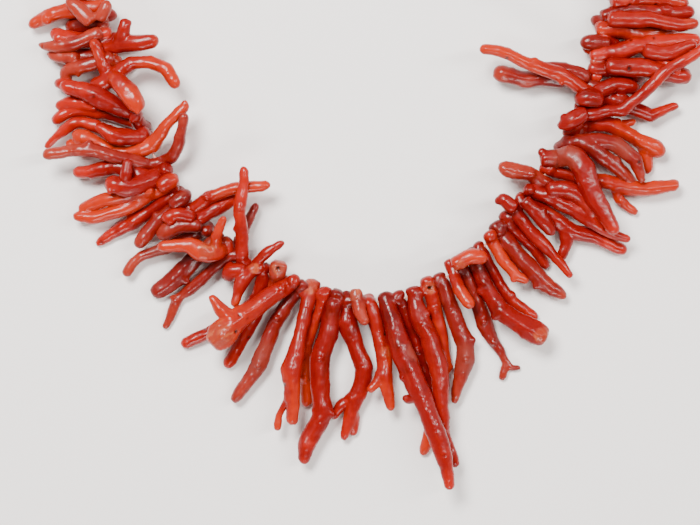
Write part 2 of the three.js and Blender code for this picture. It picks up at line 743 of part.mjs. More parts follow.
// Lays the branches over one another. Each keeps its place in plan, and rises or sinks until it clears
// the thread, the table and the branches that it crosses.
function settle(branches, sprigs) {
  const limbs = branches.flatMap(({ main, forks }) => [main, ...forks.map((fork) => fork.samples)]);
  const parts = branches.map(({ main, forks }) => [...main, ...forks.flatMap((fork) => fork.samples)]);
  const crossings = parts.flatMap((part, i) => {
    return parts.slice(i + 1).flatMap((other) => crossingsOf(part, other, CLEARANCE));
  });
  const fixed = sprigs.flatMap(({ main, forks }) => [...main, ...forks.flatMap((fork) => fork.samples)]);
  for (const sample of fixed) sample.held = true;
  for (const part of parts) crossings.push(...crossingsOf(part, fixed, CLEARANCE));
  const strand = Array.from({ length: THREAD_SEARCH_STEPS + 1 }, (_, i) => {
    return { at: threadCurve.getPointAt(i / THREAD_SEARCH_STEPS), radius: THREAD_RADIUS, held: true };
  });
  branches.forEach(({ root }, i) => {
    const free = parts[i].filter((sample) => levelDistance(sample.at, root) > ROOT_REACH);
    crossings.push(...crossingsOf(free, strand, CLEARANCE));
  });
  const wanted = limbs.map((limb) => limb.map((sample) => sample.at.z));
  for (let pass = 0; pass < PASSES; pass++) {
    const ease = 1 - pass / PASSES;
    limbs.forEach((limb, k) => smoothLimb(limb, wanted[k], ease));
    for (const { over, under, need } of crossings) {
      const short = need - (over.at.z - under.at.z);
      if (short <= 0 || (over.held && under.held)) continue;
      const raised = over.held ? 0 : under.held ? 1 : 0.5;
      over.at.z += short * raised;
      under.at.z -= short * (1 - raised);
    }
    for (const limb of limbs) {
      for (const sample of limb) {
        if (!sample.held) sample.at.z = Math.max(sample.at.z, restingHeight(sample.radius, STEM));
      }
    }
    for (const { main, forks } of branches) {
      for (const fork of forks) fork.samples[0].at.z = main[fork.joint].at.z;
    }
  }
}

// The samples that a limb's rings need, so that straight lines between them stay close to the rest.
function ringPlaces(samples, first, last, fit) {
  const chord = new THREE.Line3(samples[first].at, samples[last].at);
  let worst = fit;
  let split = 0;
  for (let i = first + 1; i < last; i++) {
    const nearest = chord.closestPointToPoint(samples[i].at, true, new THREE.Vector3());
    const share = (i - first) / (last - first);
    const radius = THREE.MathUtils.lerp(samples[first].radius, samples[last].radius, share);
    const off = nearest.distanceTo(samples[i].at) + Math.abs(radius - samples[i].radius);
    if (off > worst) {
      worst = off;
      split = i;
    }
  }
  if (!split) return [first];
  return [...ringPlaces(samples, first, split, fit), ...ringPlaces(samples, split, last, fit)];
}

// A lathed stem with a domed tip, bent so that its rings stand square on the limb's line. One of its flats
// faces down.
function limbSolid(samples, { sides, fit, end }) {
  const last = samples.length - 1;
  const rings = [...ringPlaces(samples, 0, last, fit), last].map((i) => samples[i]);
  const [nearEnd, tip] = rings.slice(-2);
  const ahead = tip.at.clone().sub(nearEnd.at).normalize();
  const [share, reach] = end;
  rings.push({ at: tip.at.clone().addScaledVector(ahead, reach * tip.radius), radius: share * tip.radius });
  const outline = rings.map(({ radius }, i) => new THREE.Vector2(radius, i));
  outline.unshift(new THREE.Vector2(0, 0));
  if (share > 0) outline.push(new THREE.Vector2(0, rings.length - 1));
  const flatDown = (1.5 * Math.PI + Math.PI / sides) % ((2 * Math.PI) / sides);
  const geometry = new THREE.LatheGeometry(outline, sides, flatDown);
  const frames = ringFrames(rings.map(({ at }) => at));
  const position = geometry.attributes.position;
  for (let i = 0; i < position.count; i++) {
    const { at, normal, binormal } = frames[Math.round(position.getY(i))];
    const place = at.clone().addScaledVector(normal, position.getX(i));
    place.addScaledVector(binormal, position.getZ(i));
    position.setXYZ(i, place.x, place.y, place.z);
  }
  return solidFrom(geometry);
}

// A frame at each station of a line, turned as little as possible from the one before.
function ringFrames(stations) {
  let normal = new THREE.Vector3(0, 0, 1);
  return stations.map((at, i) => {
    const before = stations[Math.max(i - 1, 0)];
    const after = stations[Math.min(i + 1, stations.length - 1)];
    const tangent = after.clone().sub(before).normalize();
    normal = normal.clone().addScaledVector(tangent, -normal.dot(tangent));
    if (normal.length() < LEAST_NORMAL) normal.set(tangent.y, -tangent.x, 0);
    normal.normalize();
    return { at, normal, binormal: normal.clone().cross(tangent) };
  });
}

// The hole that the thread takes through a branch.
function boreSolid(share, reach) {
  const geometry = new THREE.CylinderGeometry(BORE_RADIUS, BORE_RADIUS, 2 * reach, BORE_SIDES);
  const along = threadCurve.getTangentAt(share);
  geometry.applyQuaternion(new THREE.Quaternion().setFromUnitVectors(new THREE.Vector3(0, 1, 0), along));
  const { x, y, z } = threadCurve.getPointAt(share);
  geometry.translate(x, y, z);
  return solidFrom(geometry);
}

const belowTable = (() => {
  const geometry = new THREE.BoxGeometry(TABLE_SIZE, TABLE_SIZE, TABLE_DEPTH);
  geometry.translate(0, TABLE_SIZE / 4, -TABLE_DEPTH / 2);
  return solidFrom(geometry);
})();

function branchMesh({ name, colour, blunt }, { share, main, forks }) {
  let solid = limbSolid(main, blunt ? BLUNT_STEM : STEM);
  for (const fork of forks) solid = solid.add(limbSolid(fork.samples, STEM));
  solid = solid.subtract(boreSolid(share, main[0].radius + BORE_OVERRUN)).subtract(belowTable);
  return meshFrom(solid, name, polishedCoral(colour));
}

// The outward direction in plan at a place on the thread.
function outwardAt(share) {
  const along = threadCurve.getTangentAt(share);
  return new THREE.Vector3(along.y, -along.x, 0).normalize();
}

// The sprig that the rule puts at a place on the thread: shorter towards the clasp, leaning now to one side
// and now to the other, with every fourth one inside the loop.
function ruledSprig(index, share) {
  const towardsFront = 1 - 2 * Math.abs(share - 0.5);
  const inside = index % 4 === 2;
  const usual = THREE.MathUtils.lerp(SHORT_SPRIG, LONG_SPRIG, towardsFront);
  const length = usual * (1 + LENGTH_SWING * Math.sin(LENGTH_BEAT * index));
  const root = threadCurve.getPointAt(share);
  const out = outwardAt(share).multiplyScalar(inside ? -INSIDE_SHARE : 1);
  const side = new THREE.Vector3(-out.y, out.x, 0);
  const lean = SPRIG_LEAN * Math.sin(LEAN_BEAT * index);
  const middle = root.clone().addScaledVector(out, length / 2);
  middle.addScaledVector(side, (lean / 2 + SPRIG_BOW) * length);
  const end = root.clone().addScaledVector(out, length).addScaledVector(side, lean * length);
  const [rootRadius, usualRadius, endRadius] = SPRIG_RADII;
  const middleRadius = usualRadius + RADIUS_SWING * Math.sin(RADIUS_BEAT * index);
  return {
    tip: SPRIG_TIPS[index % SPRIG_TIPS.length],
    end: -SPRIG_START,
    route: [[root.x, root.y, rootRadius], [middle.x, middle.y, middleRadius], [end.x, end.y, endRadius]],
  };
}

// The sprigs of one upper strand, from the end of the row to the clasp, shared out among its runs.
function strandSprigs({ from, to, runs, known }) {
  const count = Math.floor(Math.abs(to - from) * threadLength / SPRIG_PITCH) + 1;
  const sprigs = Array.from({ length: count }, (_, i) => {
    const share = THREE.MathUtils.lerp(from, to, i / (count - 1));
    return limbsOf(known[i] ?? ruledSprig(i, share), SPRIG_STEM);
  });
  const perRun = Math.ceil(count / runs);
  return Array.from({ length: runs }, (_, i) => sprigs.slice(i * perRun, (i + 1) * perRun));
}

// The stretch of the thread between two places, as a tube of a given radius.
function threadTube(from, to, radius, sides) {
  const steps = Math.max(2, Math.round(((to - from) * threadLength) / THREAD_STEP));
  const points = Array.from({ length: steps + 1 }, (_, i) => {
    return threadCurve.getPointAt(THREE.MathUtils.lerp(from, to, i / steps));
  });
  const corners = Array.from({ length: sides }, (_, i) => {
    return new THREE.Vector2(radius, 0).rotateAround(new THREE.Vector2(), (2 * Math.PI * i) / sides);
  });
  const section = new THREE.Shape(corners);
  const extrudePath = new THREE.CatmullRomCurve3(points);
  return solidFrom(new THREE.ExtrudeGeometry(section, { steps, extrudePath }));
}

// A run of sprigs as one solid, joined by the roots that stand side by side on the thread.
function runMesh(name, colour, sprigs) {
  const shares = sprigs.map(({ share }) => share);
  const [first, last] = [Math.min(...shares), Math.max(...shares)];
  const past = ROOTS_PAST / threadLength;
  let solid = threadTube(first - past, last + past, ROOTS_RADIUS, ROOTS_SIDES);
  for (const { main, forks } of sprigs) {
    for (const samples of [main, ...forks.map((fork) => fork.samples)]) {
      solid = solid.add(limbSolid(samples, SPRIG_STEM));
    }
  }
  const bore = threadTube(first - 2 * past, last + 2 * past, ROOTS_BORE, ROOTS_SIDES);
  return meshFrom(solid.subtract(bore).subtract(belowTable), name, polishedCoral(colour));
}

// One turned half of the barrel clasp, from its eye to the middle, with a blind hole for the thread's end.
function claspHalf(name, direction) {
  const outline = CLASP_OUTLINE.map(([radius, along]) => new THREE.Vector2(radius, along));
  const geometry = new THREE.LatheGeometry(outline, CLASP_SIDES, Math.PI / CLASP_SIDES);
  geometry.rotateZ(-direction * Math.PI / 2);
  geometry.translate(CLASP_CENTRE[0] - direction * CLASP_HALF, CLASP_CENTRE[1], CLASP_CENTRE[2]);
  return meshFrom(solidFrom(geometry).subtract(belowTable), name, GILT);
}

const placed = BRANCHES.map((branch) => limbsOf(branch));
const rowStep = BRANCH_PITCH / threadLength;
const claspStep = CLASP_CLEARANCE / threadLength;
const leftStrand = { from: placed[0].share - rowStep, to: claspStep, runs: 3, known: LEFT_SPRIGS };
const rightEnd = placed.at(-1).share + rowStep;
const rightStrand = { from: rightEnd, to: 1 - claspStep, runs: 2, known: RIGHT_SPRIGS };
const leftRuns = strandSprigs(leftStrand);
const rightRuns = strandSprigs(rightStrand);
settle(placed, [...leftRuns, ...rightRuns].flat());

const necklace = new THREE.Group();
BRANCHES.forEach((branch, i) => necklace.add(branchMesh(branch, placed[i])));
leftRuns.forEach((run, i) => necklace.add(runMesh(`upper_branches_left_${i + 1}`, CORAL_RED, run)));
rightRuns.forEach((run, i) => necklace.add(runMesh(`upper_branches_right_${i + 1}`, CORAL_RED, run)));
necklace.add(meshFrom(threadTube(0, 1, THREAD_RADIUS, THREAD_SIDES), "thread", SILK));
necklace.add(claspHalf("clasp_half_left", 1), claspHalf("clasp_half_right", -1));

// The origin is on the table, under the middle of the necklace.
const box = new THREE.Box3().setFromObject(necklace);
const middle = box.getCenter(new THREE.Vector3());
necklace.position.set(-middle.x, -middle.y, -box.min.z);

export default necklace;
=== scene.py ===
"""A necklace of polished red coral branches on one thread, laid flat in a loop.

Each branch takes its form from its solid in the frame: the solid is rounded, swollen, lumped and
pitted by one Geometry Nodes tree, the coral skin. The upper strand's branches are grown along
routes of their own and dressed by the same tree. Lengths are in metres unless a name ends in mm
or MM.
"""

import json
import logging
import math
import random
from collections.abc import Iterable, Sequence
from dataclasses import dataclass, field, replace
from enum import Enum
from typing import Any

import bmesh
import bpy
import numpy as np
from mathutils import Matrix, Vector
from mathutils.kdtree import KDTree


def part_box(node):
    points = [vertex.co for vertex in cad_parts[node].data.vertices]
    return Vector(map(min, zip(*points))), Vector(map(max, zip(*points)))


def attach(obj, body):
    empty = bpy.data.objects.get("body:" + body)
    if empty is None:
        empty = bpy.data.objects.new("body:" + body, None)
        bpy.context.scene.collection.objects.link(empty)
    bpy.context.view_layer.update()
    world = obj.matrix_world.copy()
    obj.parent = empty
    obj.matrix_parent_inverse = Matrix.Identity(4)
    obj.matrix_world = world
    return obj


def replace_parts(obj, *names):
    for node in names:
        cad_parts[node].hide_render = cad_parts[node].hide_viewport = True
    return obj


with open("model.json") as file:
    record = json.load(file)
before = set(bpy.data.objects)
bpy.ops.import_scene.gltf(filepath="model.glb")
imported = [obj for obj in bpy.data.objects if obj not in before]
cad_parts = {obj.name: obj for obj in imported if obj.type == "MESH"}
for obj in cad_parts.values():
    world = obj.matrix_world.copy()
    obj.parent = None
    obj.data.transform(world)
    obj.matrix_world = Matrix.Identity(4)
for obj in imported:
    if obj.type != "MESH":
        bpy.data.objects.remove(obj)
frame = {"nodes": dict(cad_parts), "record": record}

log = logging.getLogger("necklace")

MM = 0.001
ROOT_BODY = "root"
Point = tuple[float, float, float]

# A place that no patch reaches, and the lowest place in the frame that a point of coral may take.
FAR_AWAY = Vector((1.0, 1.0, 0.0))
ON_THE_TABLE = (-1.0, -1.0, 0.0)

# A limb is swept in steps of this length with this many sides, and its domed tip ends at this
# share of its radius. Points of a route count as apart from this gap on.
LIMB_STEP = 0.8 * MM
LIMB_SIDES = 10
TIP_SHARE = 0.35
LEAST_GAP = 1e-9

# The thread's route, the same points that the solids are strung on, from the clasp's left half
# down round the front and up to its right half.
THREAD_ROUTE_MM: tuple[Point, ...] = (
    (-12.5, 146, 2.1), (-24, 144.5, 3.8), (-40, 139, 4.6), (-54, 129.5, 4.6), (-64.5, 117, 4.6),
    (-71, 102, 4.6), (-73, 88, 4.6), (-71, 75, 4.6), (-67.5, 61, 4.6), (-61, 46, 4.6),
    (-53.5, 31, 4.6), (-42, 16.5, 4.6), (-26, 6, 4.6), (-9, 0.5, 4.6), (0, 0, 4.6),
    (9, 2, 4.6), (22.5, 10.5, 4.6), (33, 22, 4.6), (45, 37, 4.6), (52, 51, 4.6),
    (56, 66, 4.6), (59, 82, 4.6), (59, 98, 4.6), (53.5, 113, 4.6), (43.5, 127, 4.6),
    (29, 138, 4.6), (10, 144.5, 3.8), (-1.5, 146, 2.1),
)
CLASP_MIDDLE_MM = Vector((-7.0, 146.0, 0.0))

# The upper branches whose place is known, in order from each end of the row of branch solids.
# Each is a list of limbs, and a limb is a tip height and a route of x, y and radius.
Limb = tuple[float, tuple[Point, ...]]
LEFT_SPRIGS_MM: tuple[tuple[Limb, ...], ...] = (
    ((1.4, ((-67, 60.3, 1.3), (-70.5, 61.5, 1.5), (-75, 61.75, 1.5), (-80, 60.5, 1.3))),),
    (
        (7.4, ((-68, 63.6, 1.3), (-64, 64.5, 1.4), (-60, 64.75, 1.4), (-55.5, 65.25, 1.2))),
        (8.4, ((-65.5, 64.1, 1.2), (-64, 67, 1.2), (-63, 70.5, 1))),
    ),
    ((4.4, ((-69, 67, 1.3), (-73, 65.75, 1.4), (-78, 66, 1.5), (-82.5, 67.75, 1.2))),),
    ((0, ((-69.7, 70.3, 1.4), (-74, 69.75, 1.8), (-79, 69.25, 1.7))),),
    ((2.4, ((-70.4, 73.7, 1.3), (-75, 73.5, 1.5), (-82.5, 72.25, 1.4), (-88.25, 69.25, 1))),),
)
RIGHT_SPRIGS_MM: tuple[tuple[Limb, ...], ...] = (
    ((1.4, ((54.2, 58.3, 1.3), (59, 58.5, 1.7), (62, 58.25, 1.8), (66.25, 56.5, 1.5))),),
    ((4.4, ((55, 61.7, 1.4), (60, 62.75, 1.6), (65, 64.25, 1.7), (72.5, 64.75, 1.6), (80, 65, 1.3))),),
    ((5.4, ((55.7, 65, 1.3), (53, 65, 1.3), (50.25, 64.75, 1.2))),),
    (
        (0, (
            (56.4, 68.4, 1.4), (60, 68.75, 1.7), (66.25, 67.25, 1.7), (71.25, 68.5, 1.5), (77.5, 71.25, 1.2),
        )),
    ),
    ((3.4, ((57.1, 71.8, 1.4), (62, 73.25, 1.6), (70, 72.5, 1.7), (79, 72.5, 1.4))),),
)


def linear(code: str) -> tuple[float, float, float, float]:
    """An sRGB hex colour as the linear RGBA that Blender's sockets take.

    The numbers are those of the sRGB transfer curve.

    Args:
        code: Six hex digits after a hash sign.

    Returns:
        The colour with full alpha.
    """
    parts = [int(code[i : i + 2], 16) / 255 for i in (1, 3, 5)]
    red, green, blue = (p / 12.92 if p <= 0.04045 else ((p + 0.055) / 1.055) ** 2.4 for p in parts)
    return (red, green, blue, 1.0)


def add_node(
    tree: bpy.types.NodeTree, kind: str, inputs: dict[str | int, Any] | None = None, **settings: Any
) -> bpy.types.Node:
    """Adds a node with its settings, and sets or links its inputs.

    Args:
        tree: The tree that gets the node.
        kind: The node's type name.
        inputs: A value or another node's output for each input's name or index.
        settings: The node's own properties.

    Returns:
        The new node.
    """
    node = tree.nodes.new(kind)
    for name, value in settings.items():
        setattr(node, name, value)
    for key, value in (inputs or {}).items():
        if isinstance(value, bpy.types.NodeSocket):
            tree.links.new(value, node.inputs[key])
        else:
            node.inputs[key].default_value = value
    return node


class Tone(Enum):
    """The three tones of coral on the strand, by the material slot that each takes."""

    RED = "coral_red"
    ORANGE = "coral_orange"
    ROSE = "coral_rose"


@dataclass(frozen=True)
class Mark:
    """A patch on one branch: where its middle lies in the plan, and how far it reaches."""

    x_mm: float
    y_mm: float
    reach_mm: float


@dataclass(frozen=True)
class Character:
    """What sets one branch apart from the others of its tone.

    The tint leans its colour towards the tip's, or away from it below 0. The pale patch is
    chalky or cut coral, and the raw one is brown skin that the polishing wheel missed. Plump and
    head scale how full the limb is and the ball that closes its drilled end. A stub is a cut
    length that stands up at the head, with a drilled hole in its face.
    """

    tint: float = 0.0
    pale: Mark | None = None
    raw: Mark | None = None
    plump: float = 1.0
    head: float = 1.0
    stub: Mark | None = None


CHARACTERS: dict[str, Character] = {
    "branch_left_01": Character(0.35),
    "branch_left_02": Character(0.1),
    "branch_left_03": Character(0.45),
    "branch_left_04": Character(0.35),
    "branch_left_05": Character(1.0),
    "branch_left_06": Character(0.3),
    "branch_left_07": Character(0.1, plump=1.2),
    "branch_left_08": Character(0.6),
    "branch_left_09": Character(0.2),
    "branch_left_10": Character(-0.1),
    "branch_left_11": Character(0.4),
    "branch_left_12": Character(0.3),
    "branch_left_13": Character(0.3, raw=Mark(-55, 13, 3.5)),
    "branch_left_14": Character(-0.5, raw=Mark(-44, 13.5, 4)),
    "branch_left_15": Character(0.6, pale=Mark(-43, 13, 2.6), plump=1.3),
    "branch_left_16": Character(0.1),
    "branch_left_17": Character(0.45),
    "branch_left_18": Character(-0.1, pale=Mark(-31.5, 8.5, 1.6), head=1.3),
    "branch_left_19": Character(0.1),
    "branch_left_20": Character(0.2, pale=Mark(-25.4, 8.4, 2.0), stub=Mark(-25.4, 8.4, 1.9)),
    "branch_left_21": Character(0.3, pale=Mark(-39.75, -8, 4.2), plump=1.3),
    "branch_front_01": Character(-0.1, raw=Mark(-30, -14, 6)),
    "branch_front_02": Character(0.1, pale=Mark(-17.6, 4, 2.6), head=1.35),
    "branch_front_03": Character(0.5),
    "branch_front_04": Character(-0.15, plump=1.2),
    "branch_front_05": Character(0.0, plump=1.1),
    "branch_front_06": Character(0.3, pale=Mark(-6.4, 2, 2.2), head=1.3),
    "branch_front_07": Character(0.15, pale=Mark(1.3, -12.5, 1.8)),
    "branch_front_08": Character(-0.1, raw=Mark(9, -12, 3), plump=1.3),
    "branch_front_09": Character(-0.1),
    "branch_front_10": Character(-0.3),
    "branch_front_11": Character(0.4, pale=Mark(12.4, 3.6, 1.9), stub=Mark(12.4, 3.6, 1.7)),
    "branch_front_12": Character(0.0, raw=Mark(20, -14, 5)),
    "branch_right_01": Character(0.3, pale=Mark(20, 9, 1.8)),
    "branch_right_02": Character(-0.1, head=1.25),
    "branch_right_03": Character(-0.2, pale=Mark(40.5, -8.3, 2.6), plump=1.2),
    "branch_right_04": Character(0.0),
    "branch_right_05": Character(0.6),
    "branch_right_06": Character(-0.05),
    "branch_right_07": Character(-0.05),
    "branch_right_08": Character(0.15),
    "branch_right_09": Character(0.05),
    "branch_right_10": Character(0.2),
    "branch_right_11": Character(0.4),
    "branch_right_12": Character(0.35),
    "branch_right_13": Character(-0.1, raw=Mark(46, 36.5, 4.5), plump=1.3),
    "branch_right_14": Character(-0.1, raw=Mark(60, 38, 3.5)),
    "branch_right_15": Character(0.35, head=1.35),
    "branch_right_16": Character(0.2, head=1.25),
    "branch_right_17": Character(0.0, head=1.3),
    "branch_right_18": Character(0.5, head=1.3),
    "branch_right_19": Character(0.0),
}


# Side twigs and longer heads too small for the solids, by the piece that they grow on. Each is the
# heights of its start and tip over the table, and a route of x, y and radius.
Twig = tuple[float, float, tuple[Point, ...]]
SIDE_TWIGS_MM: dict[str, tuple[Twig, ...]] = {
    "branch_left_01": ((4.5, 2.5, ((-66, 57, 1.6), (-70, 54, 2), (-72.5, 54.5, 1.7))),),
    "branch_left_02": ((4.0, 2.0, ((-74, 52.5, 1.4), (-79, 54.5, 1.4), (-81.5, 54.8, 0.9))),),
    "branch_left_03": ((3.5, 1.8, ((-71, 49, 1.3), (-77, 50.4, 1.4), (-81.5, 49.3, 0.9))),),
    "branch_left_04": (
        (4.5, 1.6, (
            (-62, 41, 1.3), (-70, 43.5, 1.2), (-75.5, 45, 1.2), (-80.5, 42.5, 1.1), (-83.8, 39, 0.8),
        )),
    ),
    "branch_left_05": ((3.4, 3.0, ((-67, 38, 1.4), (-73, 41, 1.6), (-77, 41.8, 1.3))),),
    "branch_left_07": ((5.0, 1.8, ((-58, 31, 1.4), (-66, 34, 1.5), (-72, 33, 1.5), (-76.8, 33, 1.2))),),
    "branch_left_08": (
        (5.0, 2.5, ((-57, 28, 1.4), (-63.5, 27.2, 1.5), (-69.5, 25.8, 1.6), (-75.2, 23.2, 1.1))),
        (5.5, 5.0, ((-55, 28.6, 1.5), (-52.6, 30.2, 1.7), (-50.9, 31.3, 1.2))),
    ),
    "branch_left_10": ((5.5, 5.0, ((-52, 24.4, 1.4), (-49.4, 26, 1.7), (-47.7, 27.6, 1.2))),),
    "branch_left_12": ((6.0, 6.0, ((-46.5, 21, 1.3), (-50.5, 22, 1.5), (-54, 20.6, 1.2))),),
    "branch_left_13": ((5.0, 3.5, ((-45, 19, 1.4), (-49.5, 19.2, 1.7), (-53, 18, 1.7), (-55.2, 16, 1.3))),),
    "branch_left_18": ((4.5, 2.0, ((-34, 8, 1.3), (-37.5, 7.2, 1.7), (-38.4, 5, 1.5))),),
    "branch_right_01": ((8.0, 7.2, ((18.6, 9.6, 1.5), (22.6, 11.6, 1.8), (26.8, 11.2, 1.5))),),
    "branch_right_08": ((6.0, 7.0, ((33.5, 23.5, 1.4), (31, 25.5, 1.2), (30.5, 26.5, 1))),),
    "branch_right_09": ((6.5, 4.5, ((36, 25.5, 1.3), (38.5, 22.6, 1.5), (41, 19.5, 1.4), (43, 16.8, 1.0))),),
    "branch_right_10": ((5.0, 4.5, ((42, 28, 1.5), (46.5, 28.2, 1.9), (50.5, 25.8, 1.9), (54, 21.5, 1.4))),),
    "branch_right_14": ((5.0, 1.8, ((50.5, 40, 1.5), (56, 36, 1.6), (61, 32, 1.6), (64.5, 29, 1.1))),),
    "branch_right_15": ((2.5, 1.5, ((65, 40.5, 1.5), (69.3, 39.2, 1.7), (71.6, 37, 1.3))),),
    "branch_right_16": ((6.5, 6.0, ((51, 47, 1.4), (48, 45.7, 1.9), (45.2, 44.1, 1.5))),),
    "branch_right_17": (
        (4.5, 2.0, ((52.5, 51.5, 1.4), (57.5, 53.6, 1.6), (62, 54, 1.5), (65, 53.2, 1.1))),
        (6.0, 6.0, ((55.3, 50.3, 1.3), (52, 51, 1.9), (48.9, 50.3, 1.5))),
    ),
    "branch_right_19": ((4.5, 5.5, ((52, 56, 1.3), (46, 58.5, 1.2), (40.5, 58.8, 0.9))),),
    "upper_branches_left_1": (
        (4.6, 1.8, ((-67, 61, 1.4), (-76, 58.5, 1.5), (-79.5, 57.5, 1.2), (-79, 54.5, 1))),
        (5.5, 3.0, ((-70, 67, 1.3), (-77, 64.5, 1.4), (-82.5, 64, 1.2), (-86, 64.8, 0.5))),
        (3.2, 2.0, ((-76, 61.2, 1.4), (-80.5, 61.4, 1.3), (-83.6, 62.2, 0.8))),
        (6.5, 6.0, ((-72, 69.5, 1.7), (-75, 72.5, 1.7), (-78.5, 75.5, 1.4))),
        (6.5, 8.0, ((-70, 70.5, 1.4), (-68.5, 73, 1.4), (-67.5, 75, 1.1))),
    ),
    "upper_branches_right_1": (
        (4.8, 3.6, ((57, 59, 1.5), (64, 58.5, 1.9), (71, 57.5, 2), (77.5, 56.8, 1.5))),
        (5.5, 6.0, ((66, 62.5, 1.5), (72, 62, 1.5), (79, 64.2, 1.3))),
        (5.5, 3.5, ((57, 70.5, 1.4), (66, 71, 1.6), (75, 69.5, 1.5), (80, 70, 1.2))),
        (4.8, 2.5, ((57.6, 74.6, 1.4), (64, 75.9, 1.6), (71.5, 75.7, 1.6), (77.5, 75.2, 1.2))),
    ),
}


def new_finish(name: str) -> tuple[bpy.types.Material, bpy.types.NodeTree, bpy.types.NodeSocket]:
    """Starts a finish.

    Args:
        name: The material's name.

    Returns:
        The material, its empty node tree, and the place on the object that its patterns read.
    """
    material = bpy.data.materials.new(name)
    material.use_nodes = True
    tree = material.node_tree
    tree.nodes.clear()
    return material, tree, add_node(tree, "ShaderNodeTexCoord").outputs["Object"]


def shade(tree: bpy.types.NodeTree, inputs: dict[str | int, Any]) -> None:
    """Ends a finish's tree with its shader.

    Args:
        tree: The finish's tree.
        inputs: What the shader's own sockets get.
    """
    shader = add_node(tree, "ShaderNodeBsdfPrincipled", inputs)
    add_node(tree, "ShaderNodeOutputMaterial", {"Surface": shader.outputs["BSDF"]})


@dataclass(frozen=True)
class Relief:
    """A pattern raised by bump: how strongly, and how high in millimetres."""

    strength: float
    height_mm: float


